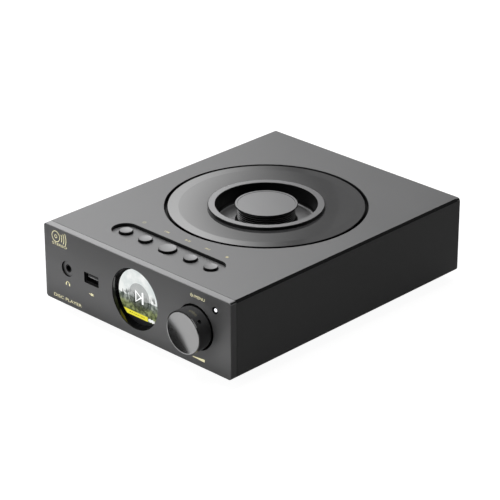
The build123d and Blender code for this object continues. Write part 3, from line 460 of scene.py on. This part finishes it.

# ---------------------------------------------------------------------------------------------
# Feet: four cups turned from aluminium bar, each with a rubber pad pressed into its face, in the
# blasted finish.  The lathe rings that turned parts take round their own axis are set up here.
turned_rings, start, end = start_group(
    "turned_rings",
    (
        ("Centre", "NodeSocketVector", (0, 0, 0)),
        ("Across", "NodeSocketVector", (1, 1, 0)),
        ("Ring Scale", number, 9000.0),
    ),
    (("Height", number), ("Shade", number)),
)
place = object_place(turned_rings)
shifted = add_node(turned_rings, "ShaderNodeVectorMath", operation="SUBTRACT")
turned_rings.links.new(place, shifted.inputs[0])
turned_rings.links.new(start.outputs["Centre"], shifted.inputs[1])
flat = add_node(turned_rings, "ShaderNodeVectorMath", operation="MULTIPLY")
turned_rings.links.new(shifted.outputs[0], flat.inputs[0])
turned_rings.links.new(start.outputs["Across"], flat.inputs[1])
radius = add_node(turned_rings, "ShaderNodeVectorMath", operation="LENGTH")
turned_rings.links.new(flat.outputs[0], radius.inputs[0])
wobble = noise(turned_rings, place, 40.0, 2.0)
angle = total(
    turned_rings,
    product(turned_rings, radius.outputs["Value"], start.outputs["Ring Scale"]),
    scaled(turned_rings, wobble, 1.5),
)
wave = add_node(turned_rings, "ShaderNodeMath", operation="SINE")
turned_rings.links.new(angle, wave.inputs[0])
turned_rings.links.new(wave.outputs[0], end.inputs["Height"])
turned_rings.links.new(scaled(turned_rings, wave.outputs[0], 0.5, 0.5), end.inputs["Shade"])


def turned(
    name, colour, roughness, centre, across=(1, 1, 0), ring_scale=9000.0, ring_depth=0.000004, wear=0.35,
    walls=None,
):
    """Turned aluminium: rings from the lathe in its sheen and relief, rubbed edges, and painted shade on its
    walls where asked.
    """
    material, tree, output = new_material(name)
    metal = add_node(tree, "ShaderNodeBsdfPrincipled", Metallic=0.96)
    grain = place_group(
        tree, blast_grain, Colour=(*colour, 1), Roughness=roughness, Grain_Scale=3200.0, Cloud_Amount=0.08
    )
    rings = place_group(tree, turned_rings, Centre=centre, Across=across, Ring_Scale=ring_scale)
    wear_line = place_group(tree, edge_wear, Width=0.0003, Amount=wear)
    bare = tuple(min(1.0, part * 1.6) for part in colour)
    shade = blend_colour(tree, wear_line.outputs["Mask"], grain.outputs["Colour"], (*bare, 1))
    if walls:
        shade = paint_wall_shade(tree, shade, colour, *walls)
    fine = add_node(tree, "ShaderNodeBump", Strength=0.25, Distance=0.000008)
    relief = add_node(tree, "ShaderNodeBump", Strength=0.3, Distance=ring_depth)
    tree.links.new(grain.outputs["Height"], fine.inputs["Height"])
    tree.links.new(rings.outputs["Height"], relief.inputs["Height"])
    tree.links.new(fine.outputs["Normal"], relief.inputs["Normal"])
    polish = total(tree, grain.outputs["Roughness"], scaled(tree, rings.outputs["Shade"], 0.05, -0.025))
    tree.links.new(shade, metal.inputs["Base Color"])
    tree.links.new(polish, metal.inputs["Roughness"])
    tree.links.new(relief.outputs["Normal"], metal.inputs["Normal"])
    tree.links.new(metal.outputs[0], output.inputs["Surface"])
    return material


foot_metal = anodised("foot_metal", (0.46, 0.46, 0.465), 0.34)
finish_node("feet", foot_metal)
rubber = fine_finish("foot_rubber", (0.018, 0.018, 0.018), 0.8, 0.0, scale=1400.0, depth=0.00004, wear=0.15)
finish_node("foot_pads", rubber)

# ---------------------------------------------------------------------------------------------
# Front plate: thick aluminium, a paler anodising than the sleeve, with gold marks printed on it:
# a disc and sound waves, a word under it, pictograms by the sockets and a level wedge by the knob.
# Painted shade on the walls of the holes in the front plate.
panel_wall_shade = ((0, 1, 0), (0, -0.117, 0.0368), (0.091, 0.02, 0.0262))
panel_metal = anodised("panel_metal", (0.41, 0.41, 0.415), 0.5, panel_wall_shade)
finish_node("front_panel", panel_metal)

front_low, front_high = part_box("front_panel")
front_y = front_low[1]
case_under = front_low[2]
top_z = front_high[2]
mm = 0.001
ink_lift = 0.03 * mm


def arc(x, y, radius, first, last, steps=24):
    """Points along an arc, in degrees."""
    angles = [radians(first) + radians(last - first) / steps * n for n in range(steps + 1)]
    return [(x + radius * cos(angle), y + radius * sin(angle)) for angle in angles]


def stroke(points, width):
    """Quads that make a line of even width through the points."""
    last = len(points) - 1
    closed = (Vector(points[0]) - Vector(points[last])).length < 1e-6
    sides = []
    for n, (x, y) in enumerate(points):
        before = points[n - 1] if n > 0 else points[last - 1 if closed else 0]
        after = points[n + 1] if n < last else points[1 if closed else last]
        along = Vector((after[0] - before[0], after[1] - before[1])).normalized() * (width / 2)
        sides.append(((x - along.y, y + along.x), (x + along.y, y - along.x)))
    return [[a[1], b[1], b[0], a[0]] for a, b in zip(sides, sides[1:])]


def box_shape(x, y, width, height):
    """One upright rectangle about a centre."""
    left, right, low, high = x - width / 2, x + width / 2, y - height / 2, y + height / 2
    return [[(left, low), (right, low), (right, high), (left, high)]]


def power_ring(x, y, radius, bar, width):
    """The common power sign: a ring open at the top, with an upright bar."""
    return stroke(arc(x, y, radius, 125, 415, 20), width) + stroke([(x, y), (x, y + bar)], width)


def front_place(x, z, lift=ink_lift):
    """Point on the front face, from millimetres across and above the case's underside."""
    return Vector((x * mm, front_y - lift, case_under + z * mm))


def top_place(x, y, lift=ink_lift):
    """Point on the top face."""
    return Vector((x * mm, y * mm, top_z + lift))


def lay_down(name, shapes, place, material, lift=ink_lift):
    """A flat mesh of the shapes, laid on a face of the case and riding with it."""
    form = bmesh.new()
    for shape in shapes:
        form.faces.new([form.verts.new(place(x, y, lift)) for x, y in shape])
    bmesh.ops.remove_doubles(form, verts=form.verts, dist=1e-7)
    mesh = bpy.data.meshes.new(name)
    form.to_mesh(mesh)
    form.free()
    mesh.materials.append(material)
    piece = bpy.data.objects.new(name, mesh)
    scene.collection.objects.link(piece)
    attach(piece, "case")


def lettering(words, x, y, height, width):
    """Outline of a word as flat shapes, its lower left corner at a point, fitted to a size."""
    data = bpy.data.curves.new("word", "FONT")
    data.body = words
    holder = bpy.data.objects.new("word", data)
    scene.collection.objects.link(holder)
    mesh = bpy.data.meshes.new_from_object(holder)
    points = [vertex.co.copy() for vertex in mesh.vertices]
    low_x, high_x = min(p.x for p in points), max(p.x for p in points)
    low_y, high_y = min(p.y for p in points), max(p.y for p in points)
    fitted = [
        (x + (p.x - low_x) / (high_x - low_x) * width, y + (p.y - low_y) / (high_y - low_y) * height)
        for p in points
    ]
    shapes = [[fitted[n] for n in face.vertices] for face in mesh.polygons]
    bpy.data.objects.remove(holder)
    bpy.data.curves.remove(data)
    bpy.data.meshes.remove(mesh)
    return shapes


def printed_ink(name, colour, glow=0.0):
    """Screen-printed ink: slightly uneven in strength, with a soft metallic sheen and a painted glow in its
    own colour, as strong as glow.
    """
    material, tree, output = new_material(name)
    ink = add_node(tree, "ShaderNodeBsdfPrincipled", Metallic=0.35, Emission_Strength=glow)
    place = object_place(tree)
    patch = noise(tree, place, 1500.0, 3.0)
    faint = tuple(part * 0.7 for part in colour)
    shade = blend_colour(tree, patch, (*faint, 1), (*colour, 1))
    relief = add_node(tree, "ShaderNodeBump", Strength=0.2, Distance=0.00001)
    tree.links.new(shade, ink.inputs["Base Color"])
    tree.links.new(shade, ink.inputs["Emission Color"])
    tree.links.new(scaled(tree, patch, 0.2, 0.35), ink.inputs["Roughness"])
    tree.links.new(patch, relief.inputs["Height"])
    tree.links.new(relief.outputs["Normal"], ink.inputs["Normal"])
    tree.links.new(ink.outputs[0], output.inputs["Surface"])
    return material


# Painted light: the gold ink glows at 0.80.
gold_ink = printed_ink("gold_ink", (0.95, 0.89, 0.56), 0.80)
mark_x, mark_z = -81.2, 51.5
disc_mark = stroke(arc(mark_x, mark_z, 4.1, 0, 360, 40), 0.55) + stroke(arc(mark_x, mark_z, 1.2, 0, 360), 0.5)
for wave_radius in (6.4, 8.6, 10.8):
    disc_mark += stroke(arc(mark_x, mark_z, wave_radius, -27, 27, 14), 0.6)
lay_down("disc_and_wave_mark", disc_mark, front_place, gold_ink)
lay_down("mark_word", lettering("STEREO", -85.4, 44.7, 1.9, 15.6), front_place, gold_ink)
lay_down("player_word", lettering("DISC PLAYER", -85.5, 3.2, 2.4, 29.5), front_place, gold_ink)
ears_x, ears_z, ears_reach = -70.0, 17.4, 1.75
headphone_sign = stroke(arc(ears_x, ears_z, ears_reach, 0, 180, 18), 0.45)
for side in (-1, 1):
    headphone_sign += box_shape(ears_x + side * ears_reach, ears_z - 0.4, 0.95, 1.7)
lay_down("headphone_sign", headphone_sign, front_place, gold_ink)
plug_z = 17.5
plug_sign = stroke([(-47.5, plug_z), (-45.6, plug_z)], 0.45) + box_shape(-44.8, plug_z, 1.7, 1.9)
for prong_z in (plug_z + 0.5, plug_z - 0.5):
    plug_sign += stroke([(-44.0, prong_z), (-42.4, prong_z)], 0.4)
lay_down("plug_sign", plug_sign, front_place, gold_ink)
knob_label = power_ring(56.8, 52.5, 1.05, 1.6, 0.38)
knob_label += lettering("/MENU", 58.7, 51.4, 2.2, 10.6)
lay_down("knob_label", knob_label, front_place, gold_ink)
lay_down("level_wedge", [[(57.1, 5.6), (68.75, 5.0), (68.75, 7.1), (57.1, 6.0)]], front_place, gold_ink)

# ---------------------------------------------------------------------------------------------
# Display: a gloss black bezel tube, a round black glass and the module behind it.  The lit picture
# shows a pale sky over a field with dark trees, a grey roundel with the play sign and a title bar.
bezel_black = fine_finish(
    "bezel_black", (0.004, 0.004, 0.005), 0.10, 0.0, scale=900.0, depth=0.000002, wear=0.1, coat=0.6
)
finish_node("display_bezel", bezel_black)
finish_node("display_glass", bezel_black)
black_moulding = fine_finish("black_moulding", (0.018, 0.018, 0.020), 0.5, 0.0, scale=1300.0, depth=0.00003)
finish_node("display_module", black_moulding)

glass_low, glass_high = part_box("display_glass")
glass_front = glass_low[1]
glass_centre = (glass_low[2] + glass_high[2]) / 2
picture_radius = 20.9


def screen_place(x, z, lift=ink_lift):
    """Point on the display glass, from millimetres across and above its centre."""
    return Vector((x * mm, glass_front - lift, glass_centre + z * mm))


def screen_height(tree, place):
    """Millimetres above the display's centre."""
    return scaled(tree, parts_of(tree, place)["Z"], 1.0 / mm, -glass_centre / mm)


picture, tree, output = new_material("display_picture")
screen = add_node(
    tree, "ShaderNodeBsdfPrincipled", Base_Color=grey(0.0), Roughness=0.3, Emission_Strength=0.95
)
place = object_place(tree)
height = screen_height(tree, place)
hills = total(tree, height, scaled(tree, noise(tree, place, 110.0, 3.0), 5.0, -2.5))
clouds = ramp_between(tree, noise(tree, place, 95.0, 4.0), 0.36, 0.66)
sky = blend_colour(tree, clouds, (0.72, 0.77, 0.76, 1), (0.94, 0.96, 0.94, 1))
tufts = ramp_between(tree, noise(tree, place, 420.0, 5.0), 0.35, 0.65)
grass = blend_colour(tree, tufts, (0.045, 0.060, 0.020, 1), (0.26, 0.30, 0.13, 1))
fields = ramp_between(tree, noise(tree, place, 260.0, 4.0), 0.4, 0.6)
far_land = blend_colour(tree, fields, (0.10, 0.12, 0.10, 1), (0.42, 0.46, 0.42, 1))
land = blend_colour(tree, ramp_between(tree, height, -9.0, -3.0), grass, far_land)
view = blend_colour(tree, ramp_between(tree, hills, -1.9, -1.2), land, sky)
tall = add_node(tree, "ShaderNodeVectorMath", operation="MULTIPLY")
tall.inputs[1].default_value = (1.0, 1.0, 0.35)
tree.links.new(place, tall.inputs[0])
crowns = ramp_between(tree, noise(tree, tall.outputs[0], 330.0, 3.0), 0.53, 0.60)
band = product(tree, ramp_between(tree, height, -8.0, -5.5), ramp_between(tree, hills, 5.0, 1.0))
grove = scaled(tree, product(tree, crowns, band), 0.8)
view = blend_colour(tree, grove, view, (0.030, 0.040, 0.035, 1))
lit = blend_colour(tree, ramp_between(tree, height, -16.6, -16.3), (0.004, 0.004, 0.005, 1), view)
tree.links.new(lit, screen.inputs["Emission Color"])
tree.links.new(screen.outputs[0], output.inputs["Surface"])
round_picture = [arc(0, 0, picture_radius, 0, 360, 72)[:-1]]
lay_down("lit_picture", round_picture, screen_place, picture, lift=0.03 * mm)

roundel, tree, output = new_material("roundel_shade")
shade = add_node(tree, "ShaderNodeBsdfPrincipled", Base_Color=grey(0.0), Alpha=0.66, Emission_Strength=0.9)
place = object_place(tree)
patches = total(tree, screen_height(tree, place), scaled(tree, noise(tree, place, 300.0, 3.0), 14.0, -7.0))
mist = ramp_between(tree, patches, -2.0, 4.5)
veil = blend_colour(tree, mist, (0.018, 0.022, 0.014, 1), (0.32, 0.33, 0.33, 1))
tree.links.new(veil, shade.inputs["Emission Color"])
tree.links.new(scaled(tree, mist, 0.1, 0.3), shade.inputs["Roughness"])
tree.links.new(shade.outputs[0], output.inputs["Surface"])
lay_down(
    "play_roundel", [arc(0, 0, 10.4, 0, 360, 60)[:-1]], screen_place, roundel,
    lift=0.08 * mm,
)


def screen_ink(name, first, second, glow=1.0):
    """Lit picture element with a slight unevenness across its dots."""
    material, tree, output = new_material(name)
    dot = add_node(tree, "ShaderNodeBsdfPrincipled", Base_Color=grey(0.0), Emission_Strength=glow)
    place = object_place(tree)
    patch = noise(tree, place, 900.0, 3.0)
    tree.links.new(blend_colour(tree, patch, first, second), dot.inputs["Emission Color"])
    tree.links.new(scaled(tree, patch, 0.1, 0.3), dot.inputs["Roughness"])
    tree.links.new(dot.outputs[0], output.inputs["Surface"])
    return material


screen_white = screen_ink("screen_white", (0.92, 0.94, 0.94, 1), (1.0, 1.0, 1.0, 1), 1.3)
play_sign = stroke([(-3.4, -4.0), (-3.4, 4.0), (2.0, 0.2), (-3.4, -4.0)], 1.6) + box_shape(3.4, 0.0, 1.6, 9.2)
lay_down("play_sign", play_sign, screen_place, screen_white, lift=0.13 * mm)
title_yellow = screen_ink("title_yellow", (0.70, 0.62, 0.03, 1), (0.98, 0.90, 0.06, 1))
lay_down(
    "title_bar", [[(-16.2, -12.8), (-12.6, -16.3), (8.2, -16.3), (8.2, -12.8)]],
    screen_place, title_yellow, lift=0.08 * mm,
)
counter = []
for n in range(5):
    counter += box_shape(9.4 + n * 1.25, -14.6, 0.8, 2.0 + 0.7 * (n % 2))
lay_down("title_counter", counter, screen_place, screen_white, lift=0.08 * mm)
title_words = []
for n in range(8):
    title_words += box_shape(-9.6 + n * 2.0, -14.5, 1.3 - 0.3 * (n % 3), 0.7)
screen_dark = screen_ink("screen_dark", (0.22, 0.19, 0.01, 1), (0.34, 0.29, 0.02, 1), 0.5)
lay_down("title_dashes", title_words, screen_place, screen_dark, lift=0.12 * mm)

# ---------------------------------------------------------------------------------------------
# Volume and menu knob: turned from aluminium bar with a dished polished face and a grub screw in
# its side, on a steel shaft in a rotary switch that a bracket holds behind the plate.
knob_low, knob_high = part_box("volume_knob")
knob_centre = ((knob_low[0] + knob_high[0]) / 2, 0.0, (knob_low[2] + knob_high[2]) / 2)
# Painted shade: the knob's side, which doesn't face forward, is darkened to 30% of its colour.
knob_wall_shade = ((0, 1, 0), (0, 0, 0), (1, 1, 1), 0.30)
knob_metal = turned(
    "knob_metal", (0.66, 0.66, 0.665), 0.10, knob_centre, (1, 0, 1), 11000.0, 0.000001, 0.0, knob_wall_shade
)
finish_node("volume_knob", knob_metal)
bright_steel = fine_finish("bright_steel", (0.55, 0.55, 0.56), 0.28, 1.0)
finish_node("knob_set_screw", black_oxide)
for name in ("encoder_nut", "encoder_shaft", "encoder_plunger", "encoder_body"):
    finish_node(name, bright_steel)
finish_node("encoder_bracket", black_oxide)

# ---------------------------------------------------------------------------------------------
# Sockets and light: the headphone socket's blasted barrel in its recess, the data socket's black
# shell with its tongue, and the clear rod that carries the light.
finish_node("headphone_jack", panel_metal)
barrel_low, barrel_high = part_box("headphone_jack")
barrel_x = (barrel_low[0] + barrel_high[0]) / 2 / mm
barrel_z = ((barrel_low[2] + barrel_high[2]) / 2 - case_under) / mm
barrel_depth = front_y - barrel_low[1]
insulator = stroke(arc(barrel_x, barrel_z, 2.7, 0, 360, 40), 0.8)
lay_down(
    "socket_insulator", insulator, front_place, black_moulding,
    lift=barrel_depth + ink_lift,
)
socket_black = fine_finish("socket_black", (0.012, 0.012, 0.013), 0.35, 0.3)
finish_node("usb_shell", socket_black)
tongue_black = fine_finish("tongue_black", (0.11, 0.11, 0.112), 0.40, 0.0)
finish_node("usb_tongue", tongue_black)
tongue_low, tongue_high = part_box("usb_tongue")
lip_x = (tongue_low[0] + tongue_high[0]) / 2 / mm
lip_z = (tongue_low[2] - case_under) / mm
lip = box_shape(lip_x, lip_z + 0.35, (tongue_high[0] - tongue_low[0]) / mm - 1.0, 0.6)
tongue_depth = front_y - tongue_low[1]
lay_down("data_socket_lip", lip, front_place, bright_steel, lift=tongue_depth + ink_lift)
rod_low, rod_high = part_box("light_pipe")
rod_axis = ((rod_low[0] + rod_high[0]) / 2, 0.0, (rod_low[2] + rod_high[2]) / 2)
lit_rod, tree, output = new_material("lit_rod")
rod = add_node(tree, "ShaderNodeBsdfPrincipled", Emission_Strength=1.25)
place = object_place(tree)
offset = add_node(tree, "ShaderNodeVectorMath", operation="SUBTRACT")
offset.inputs[1].default_value = rod_axis
tree.links.new(place, offset.inputs[0])
across = add_node(tree, "ShaderNodeVectorMath", operation="MULTIPLY")
across.inputs[1].default_value = (1, 0, 1)
tree.links.new(offset.outputs[0], across.inputs[0])
reach = add_node(tree, "ShaderNodeVectorMath", operation="LENGTH")
tree.links.new(across.outputs[0], reach.inputs[0])
heart = ramp_between(tree, reach.outputs["Value"], 0.00150, 0.00120)
haze = noise(tree, place, 1200.0, 2.0)
white = blend_colour(tree, haze, (0.88, 0.93, 1.0, 1), (1.0, 1.0, 1.0, 1))
bright = blend_colour(tree, heart, grey(0.01), white)
tree.links.new(bright, rod.inputs["Emission Color"])
tree.links.new(bright, rod.inputs["Base Color"])
tree.links.new(scaled(tree, haze, 0.1, 0.25), rod.inputs["Roughness"])
tree.links.new(rod.outputs[0], output.inputs["Surface"])
finish_node("light_pipe", lit_rod)

# ---------------------------------------------------------------------------------------------
# Button row: five turned buttons in a milled slot, over push switches on a board, with gold
# signs printed behind the slot: power, back, play and pause, forward, stop.
# Painted shade: the buttons' side walls are darkened to 6% of their colour.
button_wall_shade = ((0, 0, 1), (0, 0, 0.06), (1, 1, 1), 0.06)
for name in ("power_button", "previous_button", "play_button", "next_button", "stop_button"):
    low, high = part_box(name)
    middle = ((low[0] + high[0]) / 2, (low[1] + high[1]) / 2, 0.0)
    button_metal = turned(
        name + "_metal", (0.34, 0.34, 0.343), 0.40, middle, ring_scale=12000.0, walls=button_wall_shade
    )
    finish_node(name, button_metal)
sign_y = -70.3
# Painted light: the pale gold ink glows faintly.
pale_gold_ink = printed_ink("pale_gold_ink", (0.80, 0.72, 0.42), 0.14)


def pointer(x, y, size, way):
    """A solid triangle that points left or right."""
    back, tip, half = x - way * size / 2, x + way * size / 2, size * 0.55
    corners = [(back, y - half), (tip, y), (back, y + half)]
    return [corners if way > 0 else corners[::-1]]


lay_down("power_sign", power_ring(-41.5, sign_y, 1.2, 1.7, 0.35), top_place, pale_gold_ink)
back_sign = pointer(-18.4, sign_y, 1.7, -1) + pointer(-16.9, sign_y, 1.7, -1)
back_sign += box_shape(-20.0, sign_y, 0.45, 2.0)
lay_down("back_sign", back_sign, top_place, pale_gold_ink)
play_pause = pointer(1.6, sign_y, 2.0, 1)
for bar_x in (3.7, 4.9):
    play_pause += box_shape(bar_x, sign_y, 0.5, 2.1)
lay_down("play_pause_sign", play_pause, top_place, pale_gold_ink)
next_sign = pointer(21.2, sign_y, 1.7, 1) + pointer(22.7, sign_y, 1.7, 1)
next_sign += box_shape(24.2, sign_y, 0.45, 2.0)
lay_down("next_sign", next_sign, top_place, pale_gold_ink)
lay_down("stop_sign", box_shape(41.6, sign_y, 2.1, 2.1), top_place, pale_gold_ink)
finish_node("button_switches", black_moulding)
finish_node("button_standoffs", bright_steel)

# ---------------------------------------------------------------------------------------------
# Circuit boards: glass fibre under green solder mask, with copper tracks showing through it as
# paler lines, and black moulded chips.
board_mask, tree, output = new_material("board_mask")
mask = add_node(tree, "ShaderNodeBsdfPrincipled", Coat_Weight=0.4)
place = object_place(tree)
tracks = add_node(tree, "ShaderNodeTexBrick", Scale=160.0, Mortar_Size=0.03, Row_Height=0.35, Brick_Width=1.4)
tree.links.new(place, tracks.inputs["Vector"])
patch = noise(tree, place, 80.0, 3.0)
green = blend_colour(tree, patch, (0.008, 0.070, 0.026, 1), (0.014, 0.110, 0.042, 1))
shade = blend_colour(tree, tracks.outputs["Fac"], green, (0.030, 0.190, 0.070, 1))
relief = add_node(tree, "ShaderNodeBump", Strength=0.4, Distance=0.00003)
tree.links.new(tracks.outputs["Fac"], relief.inputs["Height"])
tree.links.new(shade, mask.inputs["Base Color"])
tree.links.new(scaled(tree, patch, 0.15, 0.28), mask.inputs["Roughness"])
tree.links.new(relief.outputs["Normal"], mask.inputs["Normal"])
tree.links.new(mask.outputs[0], output.inputs["Surface"])
for name in ("front_board", "button_board", "main_board"):
    finish_node(name, board_mask)
chip_black = fine_finish("chip_black", (0.014, 0.014, 0.015), 0.55, 0.0, scale=2200.0, depth=0.00001)
finish_node("board_chips", chip_black)
can_sleeve = fine_finish("capacitor_sleeve", (0.012, 0.016, 0.050), 0.32, 0.0, coat=0.3)
finish_node("filter_capacitors", can_sleeve)
core_tape = fine_finish("transformer_tape", (0.50, 0.30, 0.05), 0.4, 0.0, scale=500.0)
finish_node("power_transformer", core_tape)
finish_node("board_standoffs", bright_steel)

# ---------------------------------------------------------------------------------------------
# Disc well and drive: a deep moulded tray with fine turned lines in its mould, its flange under the
# lid's gap painted dead black as painted shade, a steel deck on rubber bushes, polished rods, and a
# sled with its lens.
well_moulding, tree, output = new_material("well_moulding")
tray = add_node(tree, "ShaderNodeBsdfPrincipled")
grain = place_group(
    tree, blast_grain, Colour=(0.016, 0.016, 0.018, 1), Roughness=0.42, Grain_Scale=1200.0, Cloud_Amount=0.2
)
well_low, well_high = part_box("disc_well")
well_centre = ((well_low[0] + well_high[0]) / 2, (well_low[1] + well_high[1]) / 2, 0.0)
rings = place_group(tree, turned_rings, Centre=well_centre, Ring_Scale=6283.0)
relief = add_node(tree, "ShaderNodeBump", Strength=0.6, Distance=0.00004)
tree.links.new(rings.outputs["Height"], relief.inputs["Height"])
flange_under = well_high[2] - 2.5 * mm
# Painted shade: the band under the lid's gap is a dead black mirror.
flange_shade = ramp_between(tree, parts_of(tree, object_place(tree))["Z"], flange_under, flange_under + 0.5 * mm)
tree.links.new(flange_shade, tray.inputs["Metallic"])
tree.links.new(blend_colour(tree, flange_shade, grain.outputs["Colour"], grey(0.004)), tray.inputs["Base Color"])
tree.links.new(grain.outputs["Roughness"], tray.inputs["Roughness"])
tree.links.new(relief.outputs["Normal"], tray.inputs["Normal"])
tree.links.new(tray.outputs[0], output.inputs["Surface"])
finish_node("disc_well", well_moulding)
finish_node("damper_bushes", rubber)
deck_steel = fine_finish("deck_steel", (0.46, 0.46, 0.44), 0.34, 1.0, scale=900.0, clouds=0.25)
finish_node("drive_plate", deck_steel)
polished_rod = turned("polished_rod", (0.70, 0.70, 0.71), 0.14, (0, 0, 0), (0, 1, 0), 14000.0, 0.000003)
for name in ("guide_rods", "lead_screw"):
    finish_node(name, polished_rod)
motor_can = fine_finish("motor_can", (0.50, 0.50, 0.51), 0.30, 1.0, scale=1500.0)
finish_node("spindle_motor", motor_can)
finish_node("sled_motor", motor_can)
finish_node("pickup_sled", black_moulding)
lens_clear, tree, output = new_material("lens_clear")
lens = add_node(tree, "ShaderNodeBsdfPrincipled", Roughness=0.04, IOR=1.5, Coat_Weight=1.0)
place = object_place(tree)
bloom = noise(tree, place, 500.0, 2.0)
lens_blue = blend_colour(tree, bloom, (0.02, 0.03, 0.10, 1), (0.05, 0.03, 0.09, 1))
tree.links.new(lens_blue, lens.inputs["Base Color"])
tree.links.new(lens.outputs[0], output.inputs["Surface"])
finish_node("pickup_lens", lens_clear)
hub_black = turned("hub_black", (0.03, 0.03, 0.032), 0.34, well_centre, (1, 1, 0), 9000.0, 0.00001)
finish_node("turntable", hub_black)
finish_node("turntable_pad", rubber)

# ---------------------------------------------------------------------------------------------
# Lid: a disc of smoke-grey acrylic, polished, round a turned aluminium bowl and ribbed grip.  The
# polish shows faint wipe marks, and its rim wall is painted dead black, painted shade for the gap
# round the lid.  A clamp turns in a cage under it.
lid_gloss, tree, output = new_material("lid_gloss")
gloss = add_node(tree, "ShaderNodeBsdfPrincipled", IOR=1.62, Coat_Roughness=0.03)
place = object_place(tree)
# Painted shade: the plate's rim and hole walls, which don't face up, are dead black.
rim_shade = place_group(tree, recess_wall_shade).outputs["Mask"]
smear = noise(tree, place, 34.0, 4.0, 0.6)
dust = ramp_between(tree, noise(tree, place, 1900.0, 2.0, 0.5), 0.71, 0.76)
smoke = blend_colour(tree, smear, (0.066, 0.066, 0.067, 1), (0.076, 0.076, 0.078, 1))
shade = blend_colour(tree, scaled(tree, dust, 0.25), smoke, (0.22, 0.22, 0.21, 1))
tree.links.new(blend_colour(tree, rim_shade, shade, grey(0.004)), gloss.inputs["Base Color"])
tree.links.new(rim_shade, gloss.inputs["Metallic"])
tree.links.new(scaled(tree, rim_shade, -1.0, 1.0), gloss.inputs["Coat Weight"])
polish = total(tree, scaled(tree, smear, 0.05, 0.055), scaled(tree, dust, 0.2))
tree.links.new(polish, gloss.inputs["Roughness"])
relief = add_node(tree, "ShaderNodeBump", Strength=0.15, Distance=0.00002)
tree.links.new(smear, relief.inputs["Height"])
tree.links.new(relief.outputs["Normal"], gloss.inputs["Normal"])
tree.links.new(gloss.outputs[0], output.inputs["Surface"])
finish_node("lid_plate", lid_gloss)
# Painted shade: the walls of the bowl and the grip's ridges are darkened to 5% of their colour.
lid_wall_shade = ((0, 0, 1), (0, 0, 0.06), (1, 1, 1), 0.05)
lid_metal = turned("lid_metal", (0.405, 0.405, 0.41), 0.38, well_centre, walls=lid_wall_shade)
finish_node("lid_bowl", lid_metal)
finish_node("lid_grip", lid_metal)
finish_node("grip_screw", bright_steel)
for name in ("clamp_cage", "disc_clamp"):
    finish_node(name, black_moulding)

# ---------------------------------------------------------------------------------------------
# Rear sockets: two gold-plated line sockets in black insulators, an optical socket, the mains
# inlet with its blades, and a rocker switch; all but the switch are marked by rings, letters and
# signs in white ink, and the right line socket's ring is red.
gold_plate = fine_finish("gold_plate", (0.80, 0.56, 0.22), 0.2, 1.0, scale=1500.0)
finish_node("line_jacks", gold_plate)
for name in ("line_insulators", "optical_socket", "mains_inlet", "switch_housing", "power_rocker"):
    finish_node(name, black_moulding)
finish_node("inlet_blades", bright_steel)
# Painted light: the white ink glows faintly; the red ink doesn't glow.
white_ink = printed_ink("white_ink", (0.90, 0.90, 0.89), 0.12)
red_ink = printed_ink("red_ink", (0.62, 0.03, 0.03))
rear_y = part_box("rear_panel")[1][1]


def rear_place(x, z, lift=ink_lift):
    """Point on the rear face, from millimetres across as seen from behind and up."""
    return Vector((-x * mm, rear_y + lift, case_under + z * mm))


jack_low, jack_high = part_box("line_jacks")
socket_z = ((jack_low[2] + jack_high[2]) / 2 - case_under) / mm
for name, socket_x, ink in (("left_socket_ring", 46.0, white_ink), ("right_socket_ring", 66.0, red_ink)):
    ring = stroke(arc(socket_x, socket_z, 7.6, 0, 360, 48), 0.7)
    lay_down(name, ring, rear_place, ink)
for name, letter, letter_x, width in (("left_letter", "L", 45.1, 1.7), ("right_letter", "R", 65.0, 2.0)):
    sign = lettering(letter, letter_x, socket_z + 9.6, 2.6, width)
    lay_down(name, sign, rear_place, white_ink)
beam_middle = Vector((18.0, socket_z + 10.6))
beam = stroke(arc(beam_middle.x, beam_middle.y, 1.2, 0, 360), 0.4)
for angle in (45, 135, 225, 315):
    ray = Vector((cos(radians(angle)), sin(radians(angle))))
    beam += stroke([beam_middle + 1.8 * ray, beam_middle + 2.7 * ray], 0.4)
lay_down("optical_sign", beam, rear_place, white_ink)
wave_length, wave_step, wave_x, wave_z = 6.0, 0.4, -63.0, socket_z + 13.6
wave_turn = 2 * pi * wave_step / wave_length
wave_line = [(wave_x + n * wave_step, wave_z + 1.1 * sin(n * wave_turn)) for n in range(16)]
lay_down("mains_sign", stroke(wave_line, 0.5), rear_place, white_ink)
